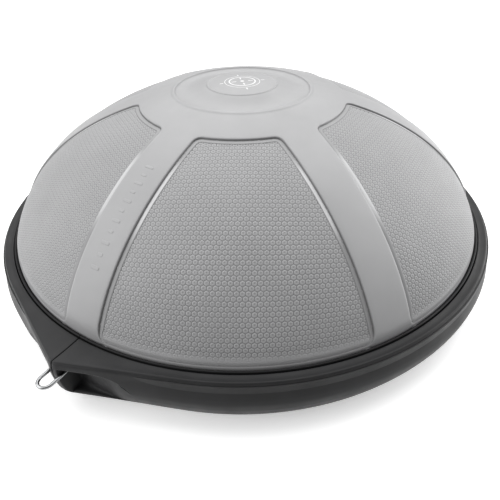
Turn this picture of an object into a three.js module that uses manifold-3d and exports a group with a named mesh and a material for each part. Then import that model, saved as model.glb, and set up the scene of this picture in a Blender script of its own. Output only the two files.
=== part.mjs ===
// Balance dome trainer: a hollow rubber dome clamped to a ribbed base plate, with a two-piece
// rim around it whose noses each carry a wire band link. Millimetres, +Z up.
// The origin is on the floor under the middle of the dome, and the noses point along -X and +X.
import * as THREE from 'three';
import { ParametricGeometry } from 'three/addons/geometries/ParametricGeometry.js';
import { mergeVertices } from 'three/addons/utils/BufferGeometryUtils.js';
import Module from 'manifold-3d';

const wasm = await Module();
wasm.setup();

// ---- Driving dimensions ----

// Overall
const ringRadius = 310.3; // rim's top outer edge, away from the noses
const rimTop = 64.3; // height of the rim's flat top
const domeTop = 222.5; // height of the dome's crown
const floorGap = 2; // underside of the base plate above the floor
const seamGap = 0.6; // slit between the two rim halves
const fitGap = 0.3; // clearance between touching pieces
const cutMargin = 5; // how far a cutting body runs past the face it opens

// Dome
const skinWall = 3.5;
const crownDrop = 56.4; // from the rim's top down to the centre of the dome's ellipse
const rollRise = 21; // from the rim's top to where the ellipse turns down into the skirt
const rollWidth = 5.2; // from the skirt in to that turn
const bandCount = 6;
const bandHalfWidth = 21.2;
const panelDepth = 2.2;
const panelCorner = 9;
const panelFootGap = 3; // from a panel's lower edge to the skirt
const hubRadius = 123.4;
const crestRadius = 83.5; // lip round the crown's hollow ring
const crestStep = 3; // width of the lip's inner slope
const hollowDepth = 4.2; // lowest part of the hollow ring under the ellipse
const hollowRadius = 66;
const hollowHalfWidth = 6;
const badgeRadius = 41.6; // round badge in the middle of the hollow ring
const badgeBead = 0.8;
const badgeBeadWidth = 2.4;

// Rim
const rimWall = 3;
const rimFootThickness = 5;
const boreInset = 9.7; // from the rim's top outer edge in to its bore
const lipWall = 2.8; // rim wall next to the clamp ring
const noseAngle = 21.5; // degrees that each flank of a nose leans from the seam's normal
const noseTipRadius = 15;
const webHalfWidth = 5.5; // wall at a nose's tip that carries the link
const pocketRoof = 8; // below the rim's top
const pocketFloor = 16.3; // above the rim's underside
const pocketReach = 74; // from the seam to the far end of a finger pocket
const pocketBack = 4.2; // pocket's back wall outside the rim's top edge

// Clamp ring and flanges
const clampWall = 3.5;
const clampFoot = 4.6;
const clampDrop = 18.8; // from the rim's top down to the top of the clamp ring's foot
const clampBead = 1.4; // how far the clamp ring's lip stands above the rim's top
const boreGap = 0.9; // slit between the clamp ring's lip and the rim
const flangeWidth = 11; // dome's flange outside its skirt
const flangeThickness = 3.5;
const membraneThickness = 2.5;

// Base plate
const plateThickness = 4;
const trayInset = 26.8; // from the rim's top outer edge in to the tray's wall
const trayWall = 4;
const trayFlange = 4.5;
const ribThickness = 3.5;
const ribCount = 12;
const ribRingRadius = 165;
const wellRadius = 30;
const wellWall = 3;
const bossRadius = 7;

// Valve
const valveBore = 6;
const valveWall = 6;
const valveFlange = 5;
const valveLip = 2;
const plugHeadRadius = 11;
const plugHead = 3.2;
const plugKnobRadius = 5.5;
const plugKnob = 8;
const plugStemLength = 8.5;

// Screws
const clampScrewCount = 12;
const rimScrewCount = 12;
const screwShank = 2;
const screwHead = 4;
const screwHeadHeight = 2;
const rimScrewLength = 14;

// Links and feet
const wireRadius = 1.7;
const linkLength = 29; // from the crossbar to the middle of the far end
const linkDepth = 13; // from the nose's tip in to the crossbar
const linkDrop = 15.8; // crossbar below the rim's top
const linkBend = 2.6;
const bushWall = 1.15;
const bushClearance = 0.35;
const padCount = 8;
const padRadius = 12;
const padInset = 25; // from the tray's wall in to the middle of each pad
const padRecess = 1;

// Facets
const ringSides = 48;
const tipSteps = 2;
const flankSteps = 6;
const arcSteps = 8;
const roundSides = 16;
const screwSides = 8;
const wireSides = 10;
const bendSteps = 4;
const endSteps = 8;

// ---- Heights and radii that follow ----

const crownCentre = rimTop - crownDrop;
const crownRise = domeTop - crownCentre;
const rollStart = rimTop + rollRise;
const plateTop = floorGap + plateThickness;
const clampFootTop = rimTop - clampDrop;
const clampBottom = clampFootTop - clampFoot;
const flangeTop = clampBottom - fitGap;
const flangeBottom = flangeTop - flangeThickness;
const membraneTop = flangeBottom - fitGap;
const membraneBottom = membraneTop - membraneThickness;
const trayTop = membraneBottom - fitGap;
const rimBore = ringRadius - boreInset;
const clampOuter = rimBore - boreGap;
const clampInner = clampOuter - clampWall;
const skirtRadius = clampInner - fitGap;
const crownAxis = (skirtRadius - rollWidth) / Math.sqrt(1 - ((rollStart - crownCentre) / crownRise) ** 2);
const flangeRadius = skirtRadius + flangeWidth;
const trayRadius = ringRadius - trayInset;
const clampScrewCircle = flangeRadius - screwHead - 2 * fitGap;
const rimFootInner = trayRadius + fitGap;
const rimScrewCircle = rimFootInner + bossRadius + fitGap;
const flank = THREE.MathUtils.degToRad(noseAngle);
const linkHalfWidth = webHalfWidth + fitGap + wireRadius; // from the seam plane to the middle of a leg
const noseTip = (ringRadius - noseTipRadius) / Math.cos(flank) + noseTipRadius;
const linkPivot = noseTip + 3.5 - linkDepth;
const linkHeight = rimTop - linkDrop;
const bushBore = wireRadius + bushClearance;
const bushRadius = bushBore + bushWall;
const holeRadius = screwShank + fitGap;
const clampScrewLength = clampFootTop - trayTop + trayFlange - screwShank / 2;

// ---- Materials ----

function finish(colour, roughness, metalness) {
  return new THREE.MeshStandardMaterial({ color: colour, roughness: roughness, metalness: metalness });
}

const domeRubber = finish(0x8f8f8f, 0.62, 0);
const floorRubber = finish(0x5a5a5a, 0.7, 0);
const rimPlastic = finish(0x3c3c3e, 0.5, 0);
const clampPlastic = finish(0x55565a, 0.5, 0);
const basePlastic = finish(0x2b2b2d, 0.6, 0);
const padRubber = finish(0x1c1c1c, 0.85, 0);
const plugRubber = finish(0x202124, 0.7, 0);
const brightSteel = finish(0xd6d8da, 0.2, 1);
const zincSteel = finish(0x9a9da1, 0.35, 1);

// ---- Solids ----

// Turns a closed geometry into a solid that faces out, without the collapsed triangles of its poles.
function toSolid(geometry) {
  const bare = new THREE.BufferGeometry();
  bare.setAttribute('position', geometry.getAttribute('position').clone());
  bare.setIndex(geometry.index);
  const merged = mergeVertices(bare, 1e-3);
  const place = merged.getAttribute('position');
  const kept = [];
  const corners = [new THREE.Vector3(), new THREE.Vector3(), new THREE.Vector3()];
  let volume = 0;
  for (let i = 0; i < merged.index.count; i += 3) {
    const [p, q, r] = [0, 1, 2].map((k) => merged.index.getX(i + k));
    if (p !== q && q !== r && r !== p) {
      kept.push(p, q, r);
      [p, q, r].forEach((index, k) => corners[k].fromBufferAttribute(place, index));
      volume += corners[0].dot(corners[1].cross(corners[2]));
    }
  }
  if (volume < 0) {
    kept.reverse();
  }
  return new wasm.Manifold(
    new wasm.Mesh({
      numProp: 3,
      vertProperties: new Float32Array(place.array),
      triVerts: new Uint32Array(kept),
    }),
  );
}

function named(name, solid, material) {
  const mesh = solid.getMesh();
  const geometry = new THREE.BufferGeometry();
  geometry.setAttribute('position', new THREE.BufferAttribute(mesh.vertProperties, 3));
  geometry.setIndex(new THREE.BufferAttribute(mesh.triVerts, 1));
  geometry.computeVertexNormals();
  const piece = new THREE.Mesh(geometry, material);
  piece.name = name;
  return piece;
}

function numbered(name, index) {
  return `${name}_${String(index + 1).padStart(2, '0')}`;
}

// A closed profile of [radius, height] points turned about the Z axis.
function turned(points, sides) {
  const profile = points.map(([radius, height]) => new THREE.Vector2(radius, height));
  if (profile[0].x > 0) {
    profile.push(profile[0].clone());
  }
  const geometry = new THREE.LatheGeometry(profile, sides);
  geometry.rotateX(Math.PI / 2);
  return toSolid(geometry);
}

function tube(inner, outer, low, high) {
  return turned([[inner, low], [outer, low], [outer, high], [inner, high]], ringSides);
}

// A block between two corners, turned about the Z axis.
function block(low, high, turn) {
  const size = high.map((value, k) => value - low[k]);
  const middle = high.map((value, k) => (value + low[k]) / 2);
  const geometry = new THREE.BoxGeometry(...size);
  geometry.translate(...middle);
  geometry.rotateZ(turn);
  return toSolid(geometry);
}

function post(radius, place, low, high, sides) {
  const geometry = new THREE.CylinderGeometry(radius, radius, high - low, sides);
  geometry.rotateX(Math.PI / 2);
  geometry.translate(place.x, place.y, (low + high) / 2);
  return toSolid(geometry);
}

function joined(solids) {
  return solids.reduce((whole, solid) => whole.add(solid));
}

// Evenly spaced places round a circle, the first one half a step from the +X axis.
function aroundCircle(count, radius) {
  const places = [];
  for (let i = 0; i < count; i += 1) {
    const turn = ((2 * i + 1) * Math.PI) / count;
    places.push({ x: radius * Math.cos(turn), y: radius * Math.sin(turn), turn: turn });
  }
  return places;
}

const clampScrewPlaces = aroundCircle(clampScrewCount, clampScrewCircle);
const rimScrewPlaces = aroundCircle(rimScrewCount, rimScrewCircle);
const padPlaces = aroundCircle(padCount, trayRadius - padInset);

function clampScrewHoles() {
  return joined(clampScrewPlaces.map((place) => post(holeRadius, place, plateTop, rimTop, screwSides)));
}

// ---- Dome ----

function ellipseHeight(radius) {
  return crownCentre + crownRise * Math.sqrt(1 - (radius / crownAxis) ** 2);
}

// A point of the dome's outside moved in along the surface's normal.
function shrunk(radius, height, depth) {
  if (height <= rimTop) {
    return [radius - depth, height];
  }
  const normal = new THREE.Vector2(radius / crownAxis ** 2, (height - crownCentre) / crownRise ** 2);
  normal.normalize();
  return [radius - normal.x * depth, height - normal.y * depth];
}

// The dome's side from the skirt up to the lip of the crown, moved in by a depth.
function domeSide(depth, steps) {
  const startTurn = Math.acos((rollStart - crownCentre) / crownRise);
  const start = new THREE.Vector2(crownAxis * Math.sin(startTurn), rollStart);
  const slope = (-((crownAxis / crownRise) ** 2) * (rollStart - crownCentre)) / start.x;
  const skirt = new THREE.Vector2(skirtRadius, rimTop);
  const knee = new THREE.Vector2(skirtRadius, rollStart + (skirtRadius - start.x) / slope);
  const rollSteps = 3;
  const points = new THREE.QuadraticBezierCurve(skirt, knee, start)
    .getPoints(rollSteps)
    .map((place) => [place.x, place.y]);
  const lipTurn = Math.asin(crestRadius / crownAxis);
  for (let i = 1; i <= steps; i += 1) {
    const turn = startTurn + ((lipTurn - startTurn) * i) / steps;
    points.push([crownAxis * Math.sin(turn), crownCentre + crownRise * Math.cos(turn)]);
  }
  return points.map(([radius, height]) => shrunk(radius, height, depth));
}

// The crown from the lip's inner edge, through the hollow ring, to the badge's middle.
function crownPoints() {
  const shelf = crestRadius - crestStep;
  const beadOuter = badgeRadius + badgeBeadWidth;
  const beadInner = badgeRadius - badgeBeadWidth;
  return [
    [shelf, ellipseHeight(shelf) - badgeBead],
    [shelf - 1, ellipseHeight(shelf) - hollowDepth / 2],
    [hollowRadius + hollowHalfWidth, ellipseHeight(hollowRadius) - hollowDepth],
    [hollowRadius - hollowHalfWidth, ellipseHeight(hollowRadius) - hollowDepth],
    [beadOuter, ellipseHeight(beadOuter) - badgeBead],
    [badgeRadius, ellipseHeight(badgeRadius) + badgeBead / 2],
    [beadInner, ellipseHeight(beadInner)],
    [0, domeTop],
  ];
}

// One recessed panel between two bands, seen from above, about the +X axis. Its straight edges run
// beside the bands, and its corners are rounded.
function panelOutline() {
  const foot = skirtRadius - panelFootGap;
  const edgeTurn = (radius) => Math.PI / bandCount - Math.asin(bandHalfWidth / radius);
  const footTurn = edgeTurn(foot) - panelCorner / foot;
  const hubTurn = edgeTurn(hubRadius) - panelCorner / hubRadius;
  const at = (radius, turn) => new THREE.Vector2(radius * Math.cos(turn), radius * Math.sin(turn));
  const footCorner = (side) => at(foot, side * edgeTurn(foot));
  const hubCorner = (side) => at(hubRadius, side * edgeTurn(hubRadius));
  const slide = (from, to) => from.clone().lerp(to, panelCorner / from.distanceTo(to));
  const shape = new THREE.Shape();
  const line = (end) => shape.lineTo(end.x, end.y);
  const bend = (corner, end) => shape.quadraticCurveTo(corner.x, corner.y, end.x, end.y);
  const start = slide(hubCorner(-1), footCorner(-1));
  shape.moveTo(start.x, start.y);
  line(slide(footCorner(-1), hubCorner(-1)));
  bend(footCorner(-1), at(foot, -footTurn));
  shape.absarc(0, 0, foot, -footTurn, footTurn, false);
  bend(footCorner(1), slide(footCorner(1), hubCorner(1)));
  line(slide(hubCorner(1), footCorner(1)));
  bend(hubCorner(1), at(hubRadius, hubTurn));
  shape.absarc(0, 0, hubRadius, hubTurn, -hubTurn, true);
  bend(hubCorner(-1), start);
  return shape;
}

function domeSkin() {
  const outsideSteps = 8;
  const insideSteps = 5;
  const innerSkirt = skirtRadius - skinWall;
  const badgeUnderside = badgeRadius - skinWall;
  const skin = turned(
    [
      [innerSkirt, flangeBottom],
      [flangeRadius, flangeBottom],
      [flangeRadius, flangeTop],
      [skirtRadius, flangeTop],
      ...domeSide(0, outsideSteps),
      ...crownPoints(),
      [0, domeTop - skinWall],
      [badgeUnderside, ellipseHeight(badgeUnderside) - skinWall],
      [hollowRadius - hollowHalfWidth, ellipseHeight(hollowRadius) - hollowDepth - skinWall],
      [hollowRadius + hollowHalfWidth, ellipseHeight(hollowRadius) - hollowDepth - skinWall],
      ...domeSide(skinWall, insideSteps).reverse(),
    ],
    ringSides,
  );
  const lidRadius = crownAxis + cutMargin;
  const outsideLayer = turned(
    [
      [0, domeTop - skinWall],
      ...domeSide(panelDepth, outsideSteps).reverse(),
      [lidRadius, rimTop],
      [lidRadius, domeTop + cutMargin],
      [0, domeTop + cutMargin],
    ],
    ringSides,
  );
  const panels = [];
  for (let i = 0; i < bandCount; i += 1) {
    const geometry = new THREE.ExtrudeGeometry(panelOutline(), {
      depth: domeTop - rimTop,
      bevelEnabled: false,
      curveSegments: 6,
    });
    geometry.translate(0, 0, rimTop);
    geometry.rotateZ((Math.PI * (2 * i + 1)) / bandCount);
    panels.push(toSolid(geometry));
  }
  return skin.subtract(outsideLayer.intersect(joined(panels))).subtract(clampScrewHoles());
}

function bladderFloor() {
  const hole = valveBore + valveWall + fitGap;
  return turned(
    [
      [hole, membraneBottom],
      [flangeRadius, membraneBottom],
      [flangeRadius, membraneTop],
      [hole, membraneTop],
    ],
    ringSides,
  ).subtract(clampScrewHoles());
}

// ---- Valve ----

function valveSeat() {
  const neck = valveBore + valveWall;
  const low = membraneBottom - fitGap;
  const high = membraneTop + fitGap;
  return turned(
    [
      [valveBore, low - valveLip],
      [neck + valveFlange, low - valveLip],
      [neck + valveFlange, low],
      [neck, low],
      [neck, high],
      [neck + valveFlange, high],
      [neck + valveFlange, high + valveLip],
      [valveBore, high + valveLip],
    ],
    roundSides,
  );
}

function valvePlug() {
  const seat = membraneBottom - fitGap - valveLip;
  const headTop = seat - fitGap;
  const headBottom = headTop - plugHead;
  const stem = valveBore - 2 * fitGap;
  return turned(
    [
      [0, headBottom - plugKnob],
      [plugKnobRadius, headBottom - plugKnob],
      [plugKnobRadius, headBottom - plugKnob / 2],
      [plugKnobRadius * 0.7, headBottom],
      [plugHeadRadius, headBottom],
      [plugHeadRadius, headTop],
      [stem, headTop],
      [stem, headTop + plugStemLength - 1],
      [stem - 1, headTop + plugStemLength],
      [0, headTop + plugStemLength],
    ],
    roundSides,
  );
}

// ---- Base plate ----

function basePlate() {
  const solids = [
    turned(
      [
        [wellRadius, floorGap],
        [trayRadius, floorGap],
        [trayRadius, trayTop - trayFlange],
        [flangeRadius, trayTop - trayFlange],
        [flangeRadius, trayTop],
        [trayRadius - trayWall, trayTop],
        [trayRadius - trayWall, plateTop],
        [wellRadius, plateTop],
      ],
      ringSides,
    ),
    tube(wellRadius, wellRadius + wellWall, floorGap, trayTop),
    tube(ribRingRadius - ribThickness, ribRingRadius, plateTop - 1, trayTop),
  ];
  const ribHalf = ribThickness / 2;
  for (let i = 0; i < ribCount; i += 1) {
    const turn = (2 * Math.PI * i) / ribCount;
    solids.push(block([wellRadius + 1, -ribHalf, plateTop - 1], [trayRadius - 1, ribHalf, trayTop], turn));
  }
  const bossLow = floorGap + rimFootThickness + fitGap;
  for (const place of rimScrewPlaces) {
    solids.push(post(bossRadius, place, bossLow, trayTop - 1, screwSides));
    const arm = [rimScrewCircle, ribThickness, trayTop - 1];
    solids.push(block([trayRadius - 1, -ribThickness, bossLow], arm, place.turn));
  }
  const screwTip = rimScrewSeat() + rimScrewLength + 1;
  const holes = [
    clampScrewHoles(),
    ...rimScrewPlaces.map((place) => post(holeRadius, place, floorGap, screwTip, screwSides)),
    ...padPlaces.map((place) => post(padRadius + fitGap, place, 0, floorGap + padRecess, roundSides)),
  ];
  return joined(solids).subtract(joined(holes));
}

function rimScrewSeat() {
  return floorGap + screwHeadHeight + 2 * fitGap;
}

function footPads() {
  const chamfer = 1;
  const top = floorGap + padRecess - fitGap;
  return padPlaces.map((place, i) => {
    const pad = turned(
      [
        [0, 0],
        [padRadius - chamfer, 0],
        [padRadius, chamfer],
        [padRadius, top],
        [0, top],
      ],
      roundSides,
    );
    const mesh = named(numbered('foot_pad', i), pad, padRubber);
    mesh.position.set(place.x, place.y, 0);
    return mesh;
  });
}

// ---- Screws ----

// A pan head screw that stands on its head, with the head's bearing face at height zero.
function screwSolid(length) {
  const dome = screwHeadHeight / 2;
  return turned(
    [
      [0, -screwHeadHeight],
      [screwHead - dome, -screwHeadHeight],
      [screwHead, -dome],
      [screwHead, 0],
      [screwShank, 0],
      [screwShank, length - screwShank],
      [0, length],
    ],
    screwSides,
  );
}

function screws(name, places, height, length) {
  const solid = screwSolid(length);
  return places.map((place, i) => {
    const mesh = named(numbered(name, i), solid, zincSteel);
    mesh.position.set(place.x, place.y, height);
    return mesh;
  });
}

// ---- Rim ----

// The rim's top outer edge from above: a round tip, a straight flank and an arc in each quarter.
// Each place has the outline's normal, and how much it belongs to the nose.
function rimOutline() {
  const tipCentre = noseTip - noseTipRadius;
  const flankLength = (ringRadius - noseTipRadius) * Math.tan(flank);
  const quarter = [];
  for (let i = 0; i < tipSteps; i += 1) {
    const turn = (flank * i) / tipSteps;
    const x = tipCentre + noseTipRadius * Math.cos(turn);
    quarter.push({ x: x, y: noseTipRadius * Math.sin(turn), turn: turn, nose: 1 });
  }
  for (let i = 0; i < flankSteps; i += 1) {
    const left = flankLength * (1 - i / flankSteps);
    const x = ringRadius * Math.cos(flank) + left * Math.sin(flank);
    const y = ringRadius * Math.sin(flank) - left * Math.cos(flank);
    quarter.push({ x: x, y: y, turn: flank, nose: THREE.MathUtils.smoothstep(left / flankLength, 0, 0.8) });
  }
  for (let i = 0; i <= arcSteps; i += 1) {
    const turn = flank + ((Math.PI / 2 - flank) * i) / arcSteps;
    quarter.push({ x: ringRadius * Math.cos(turn), y: ringRadius * Math.sin(turn), turn: turn, nose: 0 });
  }
  const back = quarter
    .slice(0, -1)
    .reverse()
    .map((place) => ({ ...place, x: -place.x, turn: Math.PI - place.turn }));
  const half = [...quarter, ...back];
  const other = half
    .slice(1, -1)
    .map((place) => ({ ...place, x: -place.x, y: -place.y, turn: place.turn + Math.PI }));
  return [...half, ...other];
}

// A ring swept round the rim's outline. Each profile point is either outside, with how far it lies
// outside the outline on the ring and at a nose, or inside, with a plain radius.
function ringBody(profile, inset) {
  const outline = rimOutline();
  const place = (u, v, target) => {
    const at = outline[Math.round(u * outline.length) % outline.length];
    const point = profile[Math.round(v * profile.length) % profile.length];
    if (point.radius !== undefined) {
      const turn = Math.atan2(at.y, at.x);
      target.set(point.radius * Math.cos(turn), point.radius * Math.sin(turn), point.z);
      return;
    }
    const out = THREE.MathUtils.lerp(point.ring, point.nose, at.nose) - inset;
    target.set(at.x + out * Math.cos(at.turn), at.y + out * Math.sin(at.turn), point.z);
  };
  return toSolid(new ParametricGeometry(place, outline.length, profile.length));
}

// The rim's outer face from its top edge down, as [share of the rim's height, how far it lies
// outside the outline on the ring, the same at a nose].
const rimFace = [
  [0.01, 0.3, 0.4],
  [0.055, 1.6, 2.2],
  [0.105, 1.0, 3.0],
  [0.17, 3.4, 3.6],
  [0.28, 5.8, 3.8],
  [0.39, 6.3, 3.5],
  [0.505, 5.4, 2.8],
  [0.625, 2.9, 1.4],
  [0.755, -0.9, -1.8],
  [0.87, -5.2, -6.6],
  [0.975, -11, -12],
];

function rimFacePoints() {
  const height = rimTop - floorGap;
  return rimFace.map(([share, ring, nose]) => ({ ring: ring, nose: nose, z: rimTop - share * height }));
}

function rimBody() {
  const footTop = floorGap + rimFootThickness;
  return ringBody(
    [
      { radius: rimBore - cutMargin, z: rimTop },
      { ring: -1.2, nose: -1.2, z: rimTop + 0.4 },
      ...rimFacePoints(),
      { ring: -14, nose: -15, z: floorGap },
      { radius: rimFootInner - cutMargin, z: floorGap },
      { radius: rimFootInner - cutMargin, z: footTop },
      { radius: rimBore - cutMargin, z: footTop },
    ],
    0,
  );
}

// The room inside the rim, open towards the dome below the clamp ring.
function rimHollow() {
  const low = floorGap + rimFootThickness;
  const high = rimTop - rimWall;
  const lipBottom = clampFootTop + fitGap;
  const face = rimFacePoints().filter((point) => point.z < high - 1 && point.z > low + 1);
  return ringBody(
    [
      { radius: rimBore + lipWall, z: high },
      { ring: 1.6, nose: 2.4, z: high },
      ...face,
      { ring: -9.5, nose: -10.5, z: low },
      { radius: rimBore - cutMargin, z: low },
      { radius: rimBore - cutMargin, z: lipBottom },
      { radius: rimBore + lipWall, z: lipBottom },
    ],
    rimWall,
  );
}

// The space of one finger pocket at the +X nose, on the +Y side, grown on every side by a wall.
// Its roof comes down towards the far end.
function pocketSpace(wall, endwise, sideways) {
  const roof = rimTop - pocketRoof + wall;
  const floor = floorGap + pocketFloor - wall;
  const near = webHalfWidth - wall;
  const far = pocketReach + wall;
  const shape = new THREE.Shape();
  // Drawn in the plane of the seam's normal: first along Y, then up.
  shape.moveTo(near, floor);
  shape.lineTo(far * 0.8, floor);
  shape.quadraticCurveTo(far, floor, far, (floor + roof) / 2 - 4);
  shape.bezierCurveTo(far * 0.86, roof - 5, far * 0.66, roof, far * 0.38, roof);
  shape.lineTo(near, roof);
  shape.closePath();
  const geometry = new THREE.ExtrudeGeometry(shape, {
    depth: noseTip,
    bevelEnabled: false,
    curveSegments: 6,
  });
  // The outline's first direction becomes +Y, its second +Z and the extrusion +X.
  geometry.applyMatrix4(new THREE.Matrix4().set(0, 0, 1, 0, 1, 0, 0, 0, 0, 1, 0, 0, 0, 0, 0, 1));
  geometry.translate(ringRadius / 2, 0, 0);
  geometry.scale(endwise, sideways, 1);
  const backRadius = ringRadius + pocketBack - wall;
  return toSolid(geometry).subtract(tube(0, backRadius, 0, domeTop));
}

function fourPockets(wall) {
  const spaces = [];
  for (const endwise of [-1, 1]) {
    for (const sideways of [-1, 1]) {
      spaces.push(pocketSpace(wall, endwise, sideways));
    }
  }
  return joined(spaces);
}

function rimHalves() {
  const far = noseTip + cutMargin;
  const footTop = floorGap + rimFootThickness;
  const web = block([-far, -webHalfWidth, 0], [far, webHalfWidth, rimTop], 0).subtract(
    tube(0, ringRadius + pocketBack - rimWall, -1, domeTop),
  );
  const hollow = rimHollow().subtract(joined([fourPockets(rimWall), web]));
  const bore = turned(
    [
      [0, -cutMargin],
      [rimFootInner, -cutMargin],
      [rimFootInner, footTop],
      [rimBore, footTop],
      [rimBore, domeTop],
      [0, domeTop],
    ],
    ringSides,
  );
  const cuts = [fourPockets(0), bore, linkHoles()];
  for (const place of rimScrewPlaces) {
    cuts.push(post(holeRadius, place, 0, footTop + 1, screwSides));
    cuts.push(post(screwHead + fitGap, place, 0, rimScrewSeat(), screwSides));
  }
  const ring = rimBody().subtract(joined([hollow, ...cuts]));
  return [
    named('rim_half_front', ring.intersect(sideOfSeam(-1)), rimPlastic),
    named('rim_half_rear', ring.intersect(sideOfSeam(1)), rimPlastic),
  ];
}

// Everything on one side of the seam plane, clear of it by half the slit.
function sideOfSeam(side) {
  const far = 2 * ringRadius;
  const edges = [(side * seamGap) / 2, side * far].sort((a, b) => a - b);
  return block([-far, edges[0], -cutMargin], [far, edges[1], domeTop], 0);
}

// ---- Clamp ring ----

function clampRings() {
  const round = 1;
  const lipTop = rimTop + clampBead;
  const ring = turned(
    [
      [clampInner, clampBottom],
      [flangeRadius, clampBottom],
      [flangeRadius, clampFootTop],
      [clampOuter, clampFootTop],
      [clampOuter, lipTop - round],
      [clampOuter - round, lipTop],
      [clampInner + round, lipTop],
      [clampInner, lipTop - round],
    ],
    ringSides,
  ).subtract(clampScrewHoles());
  return [
    named('clamp_ring_front', ring.intersect(sideOfSeam(-1)), clampPlastic),
    named('clamp_ring_rear', ring.intersect(sideOfSeam(1)), clampPlastic),
  ];
}

// ---- Links ----

function linkHoles() {
  const radius = bushRadius + fitGap;
  return joined(
    [-linkPivot, linkPivot].map((x) => {
      const geometry = new THREE.CylinderGeometry(radius, radius, 2 * webHalfWidth + 1, roundSides);
      geometry.translate(x, 0, linkHeight);
      return toSolid(geometry);
    }),
  );
}

// The middle line of a link round the +X nose, seen from above, starting on its crossbar.
function linkPath() {
  const inner = linkHalfWidth - linkBend;
  const endCentre = linkPivot + linkLength - linkHalfWidth;
  const points = [];
  for (let i = 0; i <= bendSteps; i += 1) {
    const turn = (Math.PI / 2) * (i / bendSteps);
    const x = linkPivot + linkBend * (1 - Math.cos(turn));
    points.push(new THREE.Vector2(x, inner + linkBend * Math.sin(turn)));
  }
  for (let i = 0; i <= endSteps; i += 1) {
    const turn = Math.PI / 2 - (Math.PI * i) / endSteps;
    const x = endCentre + linkHalfWidth * Math.cos(turn);
    points.push(new THREE.Vector2(x, linkHalfWidth * Math.sin(turn)));
  }
  const mirrored = points.slice(0, bendSteps + 1).reverse();
  return [...points, ...mirrored.map((place) => new THREE.Vector2(place.x, -place.y))];
}

function anchorLink() {
  const path = linkPath();
  const count = path.length;
  const place = (u, v, target) => {
    const i = Math.round(u * count) % count;
    const ahead = path[(i + 1) % count].clone().sub(path[i]).normalize();
    const behind = path[i].clone().sub(path[(i + count - 1) % count]).normalize();
    const along = ahead.add(behind).normalize();
    const turn = 2 * Math.PI * v;
    const out = wireRadius * Math.cos(turn);
    const up = wireRadius * Math.sin(turn);
    target.set(path[i].x + along.y * out, path[i].y - along.x * out, linkHeight + up);
  };
  return toSolid(new ParametricGeometry(place, count, wireSides));
}

function linkBush() {
  const half = linkHalfWidth - linkBend - fitGap;
  return turned(
    [
      [bushBore, -half],
      [bushRadius, -half],
      [bushRadius, half],
      [bushBore, half],
    ],
    roundSides,
  );
}

// ---- Assembly ----

const trainer = new THREE.Group();

const bladder = new THREE.Group();
bladder.add(named('dome_skin', domeSkin(), domeRubber));
bladder.add(named('bladder_floor', bladderFloor(), floorRubber));
bladder.add(named('valve_seat', valveSeat(), padRubber));
bladder.add(named('valve_plug', valvePlug(), plugRubber));
trainer.add(bladder);

const base = new THREE.Group();
base.add(named('base_plate', basePlate(), basePlastic));
base.add(...footPads());
base.add(...screws('clamp_screw', clampScrewPlaces, trayTop - trayFlange - fitGap, clampScrewLength));
base.add(...clampRings());
trainer.add(base);

const rim = new THREE.Group();
rim.add(...rimHalves());
rim.add(...screws('rim_screw', rimScrewPlaces, rimScrewSeat() - fitGap, rimScrewLength));
trainer.add(rim);

for (const [letter, turn] of [['a', Math.PI], ['b', 0]]) {
  const nose = new THREE.Group();
  nose.rotation.z = turn;
  nose.add(named(`anchor_link_${letter}`, anchorLink(), brightSteel));
  const bush = named(`link_bush_${letter}`, linkBush(), zincSteel);
  bush.rotation.x = Math.PI / 2;
  bush.position.set(linkPivot, 0, linkHeight);
  nose.add(bush);
  trainer.add(nose);
}

export default trainer;
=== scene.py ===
"""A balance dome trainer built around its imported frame: dome, tile panels, clamp ring, rim, links and base."""

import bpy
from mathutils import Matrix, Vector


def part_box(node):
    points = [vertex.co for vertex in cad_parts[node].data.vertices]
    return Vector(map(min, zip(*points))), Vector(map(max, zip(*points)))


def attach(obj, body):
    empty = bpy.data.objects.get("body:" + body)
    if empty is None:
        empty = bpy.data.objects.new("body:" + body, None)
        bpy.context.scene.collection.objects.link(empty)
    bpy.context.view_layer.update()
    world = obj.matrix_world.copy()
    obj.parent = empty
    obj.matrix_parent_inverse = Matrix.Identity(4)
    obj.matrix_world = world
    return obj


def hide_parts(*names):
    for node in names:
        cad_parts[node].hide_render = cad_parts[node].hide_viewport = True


bl_info = {
    "name": "Balance Dome Trainer",
    "version": (1, 0, 0),
    "blender": (4, 5, 0),
    "location": "3D View > Sidebar > Balance Dome",
    "description": "Builds the dome, rim, links and base of a balance dome trainer on its frame",
    "category": "Add Mesh",
}

import math
from types import SimpleNamespace

import bmesh
import bpy
import numpy as np
from mathutils import Matrix, Vector

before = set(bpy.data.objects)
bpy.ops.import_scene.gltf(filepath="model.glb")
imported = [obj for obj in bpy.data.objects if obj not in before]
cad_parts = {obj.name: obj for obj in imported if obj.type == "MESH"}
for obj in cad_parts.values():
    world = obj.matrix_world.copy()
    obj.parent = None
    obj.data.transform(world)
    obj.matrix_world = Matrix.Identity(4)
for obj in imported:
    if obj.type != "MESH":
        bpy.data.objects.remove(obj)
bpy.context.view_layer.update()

MM = 0.001

# Millimetres that the frame gives.
DOME_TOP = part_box("dome_skin")[1][2] / MM
FLANGE_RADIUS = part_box("clamp_ring_rear")[1][1] / MM
CLAMP_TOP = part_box("clamp_ring_front")[1][2] / MM
CLAMP_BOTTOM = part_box("clamp_ring_front")[0][2] / MM
RIM_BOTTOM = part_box("rim_half_front")[0][2] / MM
LINK_HEIGHT = (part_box("anchor_link_b")[0][2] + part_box("anchor_link_b")[1][2]) / 2 / MM
LINK_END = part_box("anchor_link_b")[1][0] / MM

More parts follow.
